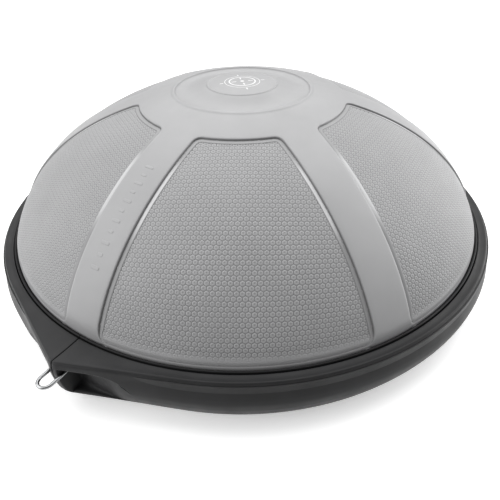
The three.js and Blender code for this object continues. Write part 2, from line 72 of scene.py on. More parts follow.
# Millimetres of the CAD part that its boxes don't show, and what follows from them.
FIT_GAP = 0.3  # clearance between touching pieces
RIM_TOP = CLAMP_TOP - 1.4  # the clamp ring's lip stands above it
RING_RADIUS = 310.3  # rim's top outer edge, away from the noses
SKIRT_RADIUS = 295.9
ROLL_RADIUS = 290.68  # where the dome's ellipse turns down into the skirt
CAP_CENTRE = RIM_TOP - 56.4  # middle of that ellipse
CAP_RISE = DOME_TOP - CAP_CENTRE  # its upright half axis
CAP_AXIS = 311.684  # its level half axis
FLANK = math.radians(21.5)  # how far each flank of a nose leans from the seam's normal
LINK_REACH = 29.0  # from a link's crossbar to the middle of its far end
SCREW_HEAD = 2.0  # height of a screw's head

FEET = 8
SCREWS = 12  # of each of the two kinds
PANELS = 6
SECTOR = 2 * math.pi / PANELS
SECTOR_TURNS = [(2 * k + 1) * SECTOR / 2 for k in range(PANELS)]  # direction of each panel's middle


# ---- Sizes and colours that a user would change ----


def length(name, description, default):
    return bpy.props.FloatProperty(
        name=name,
        description=description,
        default=default,
        min=0,
        unit="LENGTH",
        subtype="DISTANCE",
        precision=5,
    )


def tone(name, description, default):
    return bpy.props.FloatVectorProperty(
        name=name, description=description, default=default, size=3, min=0, max=1, subtype="COLOR"
    )


def share(name, description, default, high=1.0):
    return bpy.props.FloatProperty(name=name, description=description, default=default, min=0, max=high)


class DomeSizes(bpy.types.PropertyGroup):
    band_half_width: length("Band half width", "Half the width of a smooth band between two panels", 0.0212)
    hub_radius: length("Hub radius", "Radius at which the panels begin", 0.1234)
    foot_radius: length("Foot radius", "Spread at which the panels end", 0.3001)
    corner: length("Panel corner", "Length of a panel's rounded corner", 0.009)
    panel_depth: length("Panel depth", "How far a panel lies under the bands", 0.0022)
    bevel_width: length("Bevel width", "Width of the slope round a panel", 0.006)
    tile_pitch: length("Tile pitch", "Distance between two neighbouring tiles", 0.0053)
    tile_groove: length("Tile groove", "Depth of the grooves between the tiles", 0.00065)
    tile_dimple: length("Tile dimple", "Depth of the dimple in a tile's middle", 0.0004)
    lip_radius: length("Lip radius", "Radius of the lip round the hollow ring", 0.0825)
    hollow_depth: length("Hollow depth", "Depth of the hollow ring under the dome's curve", 0.0042)
    badge_radius: length("Badge radius", "Radius of the round badge at the crown", 0.0416)
    bar_height: length("Bar height", "How far the small bars on one band stand up", 0.00025)


class RimSizes(bpy.types.PropertyGroup):
    wall: length("Wall", "Thickness of the rim's wall", 0.003)
    bore: length("Bore", "Radius of the rim's inner edge", 0.3006)
    dish: length("Dish", "How far the rim's top dips between its edges", 0.00045)
    tip_radius: length("Tip radius", "Radius of a nose's rounded tip", 0.015)
    pocket_back: length("Pocket back", "Radius of the back wall of a finger pocket", 0.3145)
    pocket_reach: length("Pocket reach", "From the seam to a finger pocket's far end", 0.074)
    web: length("Web", "Half the width of the wall that carries a link", 0.0055)
    seam: length("Seam", "Half the slit between the rim's two halves", 0.00045)


class FittingSizes(bpy.types.PropertyGroup):
    wire: length("Wire radius", "Radius of a link's wire", 0.0017)
    leg: length("Leg offset", "From the seam to the middle of a link's leg", 0.0075)
    bend: length("Bend radius", "Radius of a link's bends at its crossbar", 0.0026)
    drive: length("Drive depth", "Depth of the cross in a screw's head", 0.0011)


class Finishes(bpy.types.PropertyGroup):
    dome: tone("Dome rubber", "Colour of the dome", (0.380, 0.380, 0.385))
    rim: tone("Rim plastic", "Colour of the rim", (0.0260, 0.0260, 0.0268))
    clamp: tone("Clamp plastic", "Colour of the clamp ring", (0.015, 0.015, 0.0156))
    base: tone("Base plastic", "Colour of the base plate", (0.022, 0.022, 0.023))
    foot: tone("Foot rubber", "Colour of the foot pads and the valve seat", (0.014, 0.014, 0.014))
    steel: tone("Bright steel", "Colour of the links", (0.31, 0.315, 0.32))
    mark: tone("Mark", "Colour of the centring mark", (0.80, 0.80, 0.80))


class StageSettings(bpy.types.PropertyGroup):
    lens: share("Lens", "Focal length of the camera in millimetres", 32.885, 200)
    floor: share("Floor glow", "How much light the floor gives of its own", 0.40, 2)
    sky: share("Sky", "Strength of the sky", 0.27, 5)
    overhead: share("Overhead", "Strength of the soft light from above", 2.55, 20)
    left: share("Left light", "Power of the light on the left", 14.5, 500)
    right: share("Right light", "Power of the light on the right", 14.0, 500)


GROUPS = {
    "dome_sizes": DomeSizes,
    "rim_sizes": RimSizes,
    "fitting_sizes": FittingSizes,
    "dome_finishes": Finishes,
    "dome_stage": StageSettings,
}


def in_millimetres(group):
    return SimpleNamespace(**{key: getattr(group, key) / MM for key in type(group).__annotations__})


# ---- Meshes ----


def smooth_step(value, low, high):
    part = np.clip((np.asarray(value, float) - low) / (high - low), 0, 1)
    return part * part * (3 - 2 * part)


def loft(rows, columns, start=0, wrap_rows=False, wrap_columns=False):
    """Quads between the points of a grid, as rows of four indices."""
    above = np.arange(rows if wrap_rows else rows - 1)
    across = np.arange(columns if wrap_columns else columns - 1)
    i, j = [part.ravel() for part in np.meshgrid(above, across, indexing="ij")]
    i_next, j_next = (i + 1) % rows, (j + 1) % columns
    quads = [i * columns + j, i * columns + j_next, i_next * columns + j_next, i_next * columns + j]
    return np.stack(quads, axis=1) + start


def fill_mesh(name, points, faces, painted_shading=None):
    """A mesh in metres from points in millimetres and face arrays, each with its own corner count."""
    mesh = bpy.data.meshes.new(name)
    points = np.asarray(points, float) * MM
    corners = np.concatenate([part.ravel() for part in faces]).astype(np.int32)
    counts = np.concatenate([np.full(len(part), part.shape[1]) for part in faces])
    starts = np.concatenate([[0], np.cumsum(counts)[:-1]]).astype(np.int32)
    mesh.vertices.add(len(points))
    mesh.vertices.foreach_set("co", points.astype(np.float32).ravel())
    mesh.loops.add(len(corners))
    mesh.loops.foreach_set("vertex_index", corners)
    mesh.polygons.add(len(counts))
    mesh.polygons.foreach_set("loop_start", starts)
    mesh.update(calc_edges=True)
    # The optional per-point values are painted shading, which the rubber finishes turn into painted shade and
    # highlight.
    if painted_shading is not None:
        values = mesh.attributes.new("painted_shading", "FLOAT", "POINT").data
        values.foreach_set("value", np.asarray(painted_shading, np.float32))
    return mesh


def weld(mesh, distance=0.004 * MM):
    """Joins points that lie on each other and turns every face outwards."""
    build = bmesh.new()
    build.from_mesh(mesh)
    bmesh.ops.remove_doubles(build, verts=build.verts, dist=distance)
    bmesh.ops.dissolve_degenerate(build, edges=build.edges, dist=distance / 4)
    bmesh.ops.recalc_face_normals(build, faces=build.faces)
    build.to_mesh(mesh)
    build.free()
    return mesh


def shade(mesh, sharp_angle):
    mesh.polygons.foreach_set("use_smooth", np.ones(len(mesh.polygons), bool))
    if sharp_angle:
        mesh.set_sharp_from_angle(angle=math.radians(sharp_angle))


def add_piece(name, mesh, finish, body, stands_for=(), sharp_angle=40, matrix=None):
    if matrix is not None:
        mesh.transform(matrix)
    shade(mesh, sharp_angle)
    if not mesh.materials:
        mesh.materials.append(finish)
    piece = bpy.data.objects.new(name, mesh)
    bpy.context.scene.collection.objects.link(piece)
    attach(piece, body)
    if stands_for:
        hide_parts(*stands_for)
    return piece


def rounded(corners, steps=5):
    """A closed outline whose corners, given as (x, y, radius), are replaced with smooth bends."""
    places = [np.array(corner[:2], float) for corner in corners]
    outline = []
    for k, corner in enumerate(corners):
        here, before, after = places[k], places[k - 1], places[(k + 1) % len(corners)]
        radius = corner[2] if len(corner) > 2 else 0
        if radius <= 0:
            outline.append(here)
            continue
        to_before, to_after = before - here, after - here
        room = 0.5 * min(np.linalg.norm(to_before), np.linalg.norm(to_after))
        reach = min(radius, room)
        first = here + to_before / np.linalg.norm(to_before) * reach
        last = here + to_after / np.linalg.norm(to_after) * reach
        for i in range(steps + 1):
            t = i / steps
            outline.append((1 - t) ** 2 * first + 2 * t * (1 - t) * here + t * t * last)
    return np.array(outline)


def spun(outline, angles):
    """An outline of (radius, height) points at each of the angles about the Z axis."""
    outline = np.asarray(outline, float)
    return np.stack(
        [
            np.outer(np.cos(angles), outline[:, 0]),
            np.outer(np.sin(angles), outline[:, 0]),
            np.tile(outline[:, 1], (len(angles), 1)),
        ],
        axis=-1,
    )


def circle(radius, height, turns):
    return np.stack([radius * np.cos(turns), radius * np.sin(turns), np.full(len(turns), height)], axis=1)


def capped(rings, start=0):
    """Points and faces of a body of rings one after another, with a face on its first and last ring."""
    rings = np.asarray(rings)
    rows, count = rings.shape[:2]
    ends = np.arange(count)[None, :] + start
    faces = [loft(rows, count, start, wrap_columns=True), ends[:, ::-1], ends + (rows - 1) * count]
    return rings.reshape(-1, 3), faces


def turned(name, outline, angles, closed=True):
    """A body from an outline of (radius, height) points turned about the Z axis through the angles."""
    rings = spun(outline, np.asarray(angles, float))
    if closed:
        points, faces = rings.reshape(-1, 3), [loft(*rings.shape[:2], wrap_rows=True, wrap_columns=True)]
    else:
        points, faces = capped(rings)
    return weld(fill_mesh(name, points, faces))


def full_turn(sides):
    return np.arange(sides) * 2 * math.pi / sides


def cut_away(piece_mesh, cutter_mesh):
    """The first mesh without the space of the second."""
    pair = [bpy.data.objects.new("cut", mesh) for mesh in (piece_mesh, cutter_mesh)]
    for thing in pair:
        bpy.context.scene.collection.objects.link(thing)
    modifier = pair[0].modifiers.new("Hole", "BOOLEAN")
    modifier.operation = "DIFFERENCE"
    modifier.object = pair[1]
    modifier.solver = "EXACT"
    bpy.context.view_layer.update()
    depsgraph = bpy.context.evaluated_depsgraph_get()
    result = bpy.data.meshes.new_from_object(pair[0].evaluated_get(depsgraph))
    for thing in pair:
        bpy.data.objects.remove(thing)
    return result


# ---- Finishes ----


NOISE_RANGE = (0.3, 0.7)  # the part of a noise's values that the finishes use
PAINTED_SHADING_LIMIT = 2.0  # highest painted shading value: 0 is full painted shade, 1 plain rubber, 2 the brightest painted highlight
OPEN_TONE = 1.05  # brightness of plain rubber, at a painted shading value of 1


class Nodes:
    """A material's node tree, with short words for what the finishes share."""

    def __init__(self, name):
        self.material = bpy.data.materials.get(name) or bpy.data.materials.new(name)
        self.material.use_nodes = True
        self.tree = self.material.node_tree
        self.tree.nodes.clear()
        self.output = self.add("ShaderNodeOutputMaterial")
        self.shader = self.add("ShaderNodeBsdfPrincipled")
        self.link(self.shader.outputs["BSDF"], self.output.inputs["Surface"])
        self.place = self.add("ShaderNodeTexCoord").outputs["Object"]

    def add(self, kind, **settings):
        node = self.tree.nodes.new(kind)
        for key, value in settings.items():
            setattr(node, key, value)
        return node

    def link(self, source, target):
        self.tree.links.new(source, target)

    def noise(self, scale, detail):
        node = self.add("ShaderNodeTexNoise")
        self.link(self.place, node.inputs["Vector"])
        node.inputs["Scale"].default_value = scale
        node.inputs["Detail"].default_value = detail
        node.inputs["Roughness"].default_value = 0.55
        return node.outputs["Fac"]

    def cells(self, scale):
        node = self.add("ShaderNodeTexVoronoi")
        self.link(self.place, node.inputs["Vector"])
        node.inputs["Scale"].default_value = scale
        return node.outputs["Distance"]

    def spread(self, source, low, high, source_range=NOISE_RANGE):
        """A value from low to high while the source goes through its range."""
        node = self.add("ShaderNodeMapRange", clamp=True)
        self.link(source, node.inputs["Value"])
        for key, value in zip(("From Min", "From Max", "To Min", "To Max"), (*source_range, low, high)):
            node.inputs[key].default_value = value
        return node.outputs["Result"]

    def tinted(self, colour, dark, light, source):
        """A colour that goes from a darker to a lighter shade of itself."""
        node = self.add("ShaderNodeValToRGB")
        for element, factor, place in zip(node.color_ramp.elements, (dark, light), NOISE_RANGE):
            element.color = (*[min(1.0, part * factor) for part in colour], 1)
            element.position = place
        self.link(source, node.inputs["Fac"])
        return node.outputs["Color"]

    def scaled(self, colour, source):
        """A colour times a grey value that varies over the surface."""
        node = self.add("ShaderNodeMix", data_type="RGBA", blend_type="MULTIPLY")
        node.inputs["Factor"].default_value = 1
        self.link(colour, node.inputs["A"])
        self.link(source, node.inputs["B"])
        return node.outputs["Result"]

    def bumped(self, layers):
        """Bumps one on another, each as (height, strength, distance)."""
        normal = None
        for height, strength, distance in layers:
            node = self.add("ShaderNodeBump")
            node.inputs["Strength"].default_value = strength
            node.inputs["Distance"].default_value = distance
            self.link(height, node.inputs["Height"])
            if normal is not None:
                self.link(normal, node.inputs["Normal"])
            normal = node.outputs["Normal"]
        self.link(normal, self.shader.inputs["Normal"])

    def attribute(self, name):
        return self.add("ShaderNodeAttribute", attribute_name=name).outputs["Fac"]

    def set(self, **values):
        for key, value in values.items():
            self.shader.inputs[key.replace("_", " ")].default_value = value


def rubber_finish(name, colour, crease_shade=1.0, low=0.40, high=0.50):
    """Soft matt rubber with cloudy colour and fine grain, with painted shade in its creases and painted
    highlights where its shading value says so.
    """
    made = Nodes(name)
    tint = made.tinted(colour, 0.95, 1.04, made.noise(14, 4))
    # Painted shade and highlight: the mesh's shading value scales the colour from the crease's painted shade up
    # to a painted highlight.
    if crease_shade < 1:
        brightest_highlight = crease_shade + (OPEN_TONE - crease_shade) * PAINTED_SHADING_LIMIT
        tint = made.scaled(tint, made.spread(made.attribute("painted_shading"), crease_shade, brightest_highlight, (0, PAINTED_SHADING_LIMIT)))
    made.link(tint, made.shader.inputs["Base Color"])
    made.link(made.spread(made.noise(60, 3), low, high), made.shader.inputs["Roughness"])
    made.bumped([(made.noise(1500, 2), 0.12, 0.00010), (made.noise(9, 2), 0.10, 0.0015)])
    made.set(Specular_IOR_Level=0.42)
    return made.material


def moulded_finish(name, colour, roughness, grain, grain_height):
    """Moulded plastic with a fine spark-eroded grain, faint flow marks and rubbed spots."""
    made = Nodes(name)
    made.link(made.tinted(colour, 0.86, 1.14, made.noise(22, 5)), made.shader.inputs["Base Color"])
    polish = made.spread(made.noise(35, 4), roughness - 0.05, roughness + 0.07)
    made.link(polish, made.shader.inputs["Roughness"])
    made.bumped([(made.cells(grain), 0.30, grain_height), (made.noise(16, 2), 0.10, 0.0012)])
    made.set(Specular_IOR_Level=0.16)
    return made.material


def steel_finish(name, colour, low, high, scratch):
    """Plated steel with fine drawing lines and uneven polish."""
    made = Nodes(name)
    made.set(Metallic=1.0)
    made.link(made.tinted(colour, 0.92, 1.05, made.noise(120, 3)), made.shader.inputs["Base Color"])
    made.link(made.spread(made.noise(260, 4), low, high), made.shader.inputs["Roughness"])
    made.bumped([(made.noise(scratch, 3), 0.15, 0.00004)])
    return made.material


def printed_finish(name, colour):
    """Pale printing with a slightly broken surface."""
    made = Nodes(name)
    made.link(made.tinted(colour, 0.93, 1.0, made.noise(300, 3)), made.shader.inputs["Base Color"])
    made.link(made.spread(made.noise(200, 3), 0.35, 0.5), made.shader.inputs["Roughness"])
    made.bumped([(made.noise(1800, 2), 0.10, 0.00005)])
    return made.material


def finishes():
    tones = bpy.context.scene.dome_finishes
    return SimpleNamespace(
        band=rubber_finish("dome_rubber_smooth", tones.dome),
        # The shell's and the tiles' colour carries painted shade in creases and grooves and painted highlights
        # on the channels.
        shell=rubber_finish("dome_rubber_painted_shade", tones.dome, 0.36),
        tile=rubber_finish("dome_rubber_tiled_painted_shade", tones.dome, 0.55, 0.50, 0.60),
        floor=rubber_finish("bladder_rubber", [0.6 * part for part in tones.dome]),
        foot=rubber_finish("foot_rubber", tones.foot),
        rim=moulded_finish("rim_plastic", tones.rim, 0.44, 1300, 0.00005),
        clamp=moulded_finish("clamp_plastic", tones.clamp, 0.50, 1300, 0.00004),
        base=moulded_finish("base_plastic", tones.base, 0.5, 900, 0.00008),
        steel=steel_finish("link_steel", tones.steel, 0.12, 0.24, 2500),
        zinc=steel_finish("screw_steel", (0.55, 0.56, 0.58), 0.28, 0.42, 1500),
        mark=printed_finish("centring_print", tones.mark),
    )


# ---- Dome ----


def cap_height(radius):
    return CAP_CENTRE + CAP_RISE * np.sqrt(np.maximum(0, 1 - (np.asarray(radius) / CAP_AXIS) ** 2))


def quadratic(start, knee, end, steps):
    t = np.arange(steps)[:, None] / steps
    return (1 - t) ** 2 * start + 2 * t * (1 - t) * knee + t * t * end


def cap_fall(radius):
    """How steeply the dome's ellipse falls at a radius."""
    return CAP_RISE * radius / (CAP_AXIS**2 * np.sqrt(1 - (radius / CAP_AXIS) ** 2))


def meridian():
    """The dome's outer curve from the crown to its skirt. The first row is the spread: the radius as
    far as the roll, and then the length along the roll at the same rate. Radius, height and the
    normal's two parts follow."""
    roll_height = float(cap_height(ROLL_RADIUS))
    slope = -((CAP_AXIS / CAP_RISE) ** 2) * (roll_height - CAP_CENTRE) / ROLL_RADIUS
    knee = np.array([SKIRT_RADIUS, roll_height + (SKIRT_RADIUS - ROLL_RADIUS) / slope])
    start, end = np.array([ROLL_RADIUS, roll_height]), np.array([SKIRT_RADIUS, RIM_TOP])
    roll = np.concatenate([quadratic(start, knee, end, 60), [end]])
    radius = ROLL_RADIUS * np.sin(np.linspace(0, math.pi / 2, 900))
    line = np.concatenate([np.stack([radius, cap_height(radius)], axis=1)[:-1], roll])
    run = np.concatenate([[0], np.cumsum(np.linalg.norm(np.diff(roll, axis=0), axis=1))])
    rate = 1 / math.sqrt(1 + cap_fall(ROLL_RADIUS) ** 2)
    spread = np.concatenate([radius[:-1], ROLL_RADIUS + run * rate])
    tangent = np.gradient(line, axis=0)
    tangent /= np.linalg.norm(tangent, axis=1, keepdims=True)
    return np.stack([spread, line[:, 0], line[:, 1], -tangent[:, 1], tangent[:, 0]])


MERIDIAN = meridian()
SKIRT_SPREAD = float(MERIDIAN[0][-1])


def on_cap(x, y, depth=0.0):
    """Points of the dome's outer curve over places of its spread plan, moved in along its normal."""
    spread = np.hypot(x, y)
    radius, height, out, up = [np.interp(spread, MERIDIAN[0], row) for row in MERIDIAN[1:]]
    radius, height = radius - out * depth, height - up * depth
    far = np.maximum(spread, 1e-9)
    return np.stack([x / far * radius, y / far * radius, height], axis=-1)


def foot_fade(spread, foot):
    """How much of a panel's depth is left near its foot."""
    return 1 - 0.8 * smooth_step(spread, foot - 8, foot + 0.5)


def straight(start, end, steps):
    t = np.arange(steps)[:, None] / steps
    return start + (end - start) * t


def arc(radius, start, end, steps):
    turn = start + (end - start) * np.arange(steps) / steps
    return np.stack([radius * np.cos(turn), radius * np.sin(turn)], axis=1)


def at_turn(radius, turn):
    return np.array([radius * math.cos(turn), radius * math.sin(turn)])


def panel_outline(dome, outer, inner):
    """A panel's edge in plan about the +X axis, and its partner on the sector's border."""
    foot_steps, corner_steps, side_steps, hub_steps = 48, 12, 60, 16
    half = SECTOR / 2

    def edge(radius):
        return half - math.asin(dome.band_half_width / radius)

    foot_turn = edge(dome.foot_radius) - dome.corner / dome.foot_radius
    hub_turn = edge(dome.hub_radius) - dome.corner / dome.hub_radius
    foot_corner = at_turn(dome.foot_radius, edge(dome.foot_radius))
    hub_corner = at_turn(dome.hub_radius, edge(dome.hub_radius))
    along = (hub_corner - foot_corner) / np.linalg.norm(hub_corner - foot_corner)
    side_start, side_end = foot_corner + along * dome.corner, hub_corner - along * dome.corner
    spoke = at_turn(1.0, half)
    side = straight(side_start, side_end, side_steps)
    half_corner = corner_steps // 2
    outline = [
        arc(dome.foot_radius, 0, foot_turn, foot_steps),
        quadratic(at_turn(dome.foot_radius, foot_turn), foot_corner, side_start, corner_steps),
        side,
        quadratic(side_end, hub_corner, at_turn(dome.hub_radius, hub_turn), corner_steps),
        arc(dome.hub_radius, hub_turn, 0, hub_steps),
        [[dome.hub_radius, 0]],
    ]
    border = [
        arc(outer, 0, foot_turn, foot_steps),
        arc(outer, foot_turn, half, half_corner),
        straight(outer * spoke, (side_start @ spoke) * spoke, half_corner),
        np.outer(side @ spoke, spoke),
        straight((side_end @ spoke) * spoke, inner * spoke, half_corner),
        arc(inner, half, hub_turn, half_corner),
        arc(inner, hub_turn, 0, hub_steps),
        [[inner, 0]],
    ]
    other_side = np.array([1, -1])
    halves = [np.concatenate(parts) for parts in (outline, border)]
    return [np.concatenate([part, part[-2:0:-1] * other_side]) for part in halves]


def inward(outline):
    """The unit normal into a loop that runs anticlockwise, and its share of length on the slope."""
    tangent = np.roll(outline, -1, axis=0) - np.roll(outline, 1, axis=0)
    tangent /= np.linalg.norm(tangent, axis=1, keepdims=True)
    normal = np.stack([-tangent[:, 1], tangent[:, 0]], axis=1)
    spread = np.linalg.norm(outline, axis=1)
    rise = cap_fall(np.minimum(spread, ROLL_RADIUS)) * np.sum(normal * outline, axis=1) / spread
    return normal, 1 / np.sqrt(1 + rise**2)


# Painted shading: a value per point that scales the rubber's colour, from 0, painted shade in a crease, to 1,
# plain rubber, and more, a painted highlight, where it catches the light.
BAND_PAINTED_SHADING = 0.9
# The bed under the tiles is given painted shade.
BED_PAINTED_SHADE = 0.5
CROWN_EDGE = 88.0  # radius at which the sectors meet the turned crown

# The slope round a panel: share of its width in from its top edge, share of the panel's depth, and
# its painted shading, painted shade in the crease and a painted highlight on the rounded shoulder, or None in
# the channel at its foot, where the channel's painted shading is given by the function below.
BEVEL = [
    (-0.55, 0.0, 0.9),
    (-0.40, 0.01, 0.92),
    (-0.25, 0.045, 0.96),
    (-0.13, 0.11, 1.05),
    (-0.05, 0.20, 0.95),
    (0.01, 0.40, 0.5),
    (0.06, 0.80, 0.0),
    (0.12, 1.04, 0.0),
    (0.19, 1.08, 0.3),
    (0.28, 1.03, None),
    (0.42, 0.96, None),
    (0.60, 0.89, None),
    (0.82, 0.86, None),
    (0.93, 0.92, 0.3),
]
# The panel's bed from there: share of the slope's width, and millimetres under the tiles.
BED_EDGE = [(1.0, 0.12), (1.06, 0.5), (1.14, 0.9)]
BED_DEPTH = 0.95


def channel_painted_shading(spread):
    """The channel's painted shading: a painted highlight along the middle of a panel's side and painted shade at
    its two ends.
    """
    low = smooth_step(spread, 215, 245)
    return 0.75 - 0.2 * low + 1.0 * smooth_step(spread, 150, 178) * (1 - low)


def sector_points(dome, outer, inner):
    """Loops of one sector of the dome from its border in to the middle of its panel's bed."""
    outline, border = panel_outline(dome, outer, inner)
    normal, share_left = inward(outline)
    step = normal * share_left[:, None]
    loops, painted_shadings = [], []

    def moved_in(width):
        return outline + step * width * dome.bevel_width

    def fade_at(place):
        return foot_fade(np.linalg.norm(place, axis=1), dome.foot_radius)

    def add_loop(place, depth, painted_shading):
        loops.append(on_cap(place[:, 0], place[:, 1], depth))
        painted_shadings.append(np.broadcast_to(painted_shading, len(place)))

    first = moved_in(BEVEL[0][0])
    for part in np.linspace(0, 1, 8)[:-1]:
        add_loop(border + (first - border) * part, 0.0, BAND_PAINTED_SHADING)
    for width, depth, painted_shading in BEVEL:
        place = moved_in(width)
        fade = fade_at(place)
        if painted_shading is None:
            painted_shading = channel_painted_shading(np.linalg.norm(place, axis=1))
        add_loop(place, depth * dome.panel_depth * fade, BAND_PAINTED_SHADING + (painted_shading - BAND_PAINTED_SHADING) * fade)
    for width, sunk in BED_EDGE:
        bed = moved_in(width)
        add_loop(bed, dome.panel_depth * fade_at(bed) + sunk, BED_PAINTED_SHADE)
    middle = np.array([(dome.hub_radius + dome.foot_radius) / 2, 0.0])
    for part in (0.96, 0.88, 0.76, 0.6, 0.42, 0.24, 0.1, 0.0):
        place = middle + (bed - middle) * part
        add_loop(place, dome.panel_depth * fade_at(place) + BED_DEPTH, BED_PAINTED_SHADE)
    return np.array(loops), np.array(painted_shadings)


def crown_outline(dome):
    """Radii and heights from the sectors' inner border to the crown's middle."""
    lip, badge, hollow = dome.lip_radius, dome.badge_radius, dome.hollow_depth
    # Radii, and how far the crown lies above the dome's ellipse there.
    knots = [
        (CROWN_EDGE, 0.0),
        (lip + 3.2, 0.02),
        (lip + 2.0, 0.22),
        (lip + 1.0, 0.55),
        (lip, 0.72),
        (lip - 1.0, 0.66),
        (lip - 1.8, 0.35),
        (lip - 2.3, -0.25),
        (lip - 2.8, -0.95),
        (lip - 3.6, -1.5),
        (lip - 5.5, -2.2),
        (lip - 9.0, -0.78 * hollow),
        (lip - 12.5, -0.95 * hollow),
        (lip - 16.5, -hollow),
        (lip - 21.0, -0.97 * hollow),
        (lip - 27.0, -0.80 * hollow),
        (lip - 33.0, -0.50 * hollow),
        (badge + 3.2, -0.24 * hollow),
        (badge + 1.6, -0.75),
        (badge + 0.9, -0.35),
        (badge + 0.4, 0.0),
        (badge - 0.2, 0.12),
        (badge - 0.9, -0.05),
        (badge - 1.6, -0.40),
        (badge - 3.5, -0.42),
        (badge * 0.6, -0.12),
        (badge * 0.3, -0.02),
        (0.0, 0.0),
    ]
    radii, lifts = np.array(knots).T
    fine = np.concatenate([np.linspace(a, b, 3)[:-1] for a, b in zip(radii[:-1], radii[1:])] + [[0.0]])
    lift = smooth_curve(radii[::-1], lifts[::-1], fine)
    return fine, cap_height(fine) + lift


def smooth_curve(places, values, wanted):
    """A smooth curve through values at rising places, without overshoot."""
    places, values = np.asarray(places, float), np.asarray(values, float)
    gaps = np.diff(places)
    slopes = np.diff(values) / gaps
    tangents = np.zeros(len(places))
    for k in range(1, len(places) - 1):
        if slopes[k - 1] * slopes[k] > 0:
            first, second = 2 * gaps[k] + gaps[k - 1], gaps[k] + 2 * gaps[k - 1]
            tangents[k] = (first + second) / (first / slopes[k - 1] + second / slopes[k])
    tangents[0], tangents[-1] = slopes[0], slopes[-1]
    k = np.clip(np.searchsorted(places, wanted, side="right") - 1, 0, len(gaps) - 1)
    t = (wanted - places[k]) / gaps[k]
    return (
        (1 + 2 * t) * (1 - t) ** 2 * values[k]
        + t * (1 - t) ** 2 * gaps[k] * tangents[k]
        + t * t * (3 - 2 * t) * values[k + 1]
        + t * t * (t - 1) * gaps[k] * tangents[k + 1]
    )


def skirt_outline():
    """The dome's edge from its skirt down to the flange, and its inside up to the pole."""
    flange_top, flange_bottom = CLAMP_BOTTOM - FIT_GAP, CLAMP_BOTTOM - 3.8
    wall, crown_extra = 4.2, 4.6  # the skin is thicker under the crown's hollow ring
    inside = []
    for spread in np.concatenate([np.linspace(SKIRT_SPREAD - 6, 100, 18), np.linspace(94, 0, 14)]):
        depth = wall + crown_extra * (1 - float(smooth_step(spread, 78, 100)))
        place = on_cap(np.array([spread]), np.array([0.0]), np.array([depth]))[0]
        inside.append([place[0], place[2]])
    inside[-1][0] = 0.0
    return np.array(
        [
            [SKIRT_RADIUS, RIM_TOP],
            [SKIRT_RADIUS, 56.0],
            [SKIRT_RADIUS, flange_top + 1.0],
            [SKIRT_RADIUS + 0.3, flange_top + 0.3],
            [SKIRT_RADIUS + 1.0, flange_top],
            [FLANGE_RADIUS, flange_top],
            [FLANGE_RADIUS, flange_bottom],
            [SKIRT_RADIUS - wall, flange_bottom],
            [SKIRT_RADIUS - wall, RIM_TOP - 4],
            *inside,
        ]
    )


def border_angles(places):
    """The angles of places on one sector's border, repeated round the dome without doubles."""
    angles = np.arctan2(places[:, 1], places[:, 0])
    angles = np.unique(np.round(np.concatenate([angles + turn for turn in SECTOR_TURNS]) % (2 * math.pi), 7))
    return angles[:-1] if angles[-1] - angles[0] > 2 * math.pi - 1e-5 else angles


def dome_mesh(dome):
    """The six sectors, the turned crown inside them, and the skirt, flange and inside."""
    loops, sector_painted_shading = sector_points(dome, SKIRT_SPREAD, CROWN_EDGE)
    points, faces, painted_shading, start = [], [], [], 0
    for turn in SECTOR_TURNS:
        sector = loops.reshape(-1, 3) @ np.array(Matrix.Rotation(turn, 3, "Z")).T
        points.append(sector)
        faces.append(loft(len(loops), loops.shape[1], start, wrap_columns=True))
        painted_shading.append(sector_painted_shading.ravel())
        start += len(sector)
    border = loops[0]
    radius = np.hypot(border[:, 0], border[:, 1])
    crown = np.stack(crown_outline(dome), axis=1)
    for edge, outline in ((CROWN_EDGE, crown), (SKIRT_RADIUS, skirt_outline())):
        angles = border_angles(border[np.abs(radius - edge) < 1e-3])
        more = spun(outline, angles).swapaxes(0, 1).reshape(-1, 3)
        points.append(more)
        faces.append(loft(len(outline), len(angles), start, wrap_columns=True))
        painted_shading.append(np.full(len(more), BAND_PAINTED_SHADING))
        start += len(more)
    return weld(fill_mesh("dome_shell", np.concatenate(points), faces, np.concatenate(painted_shading)))


# ---- Tiles ----


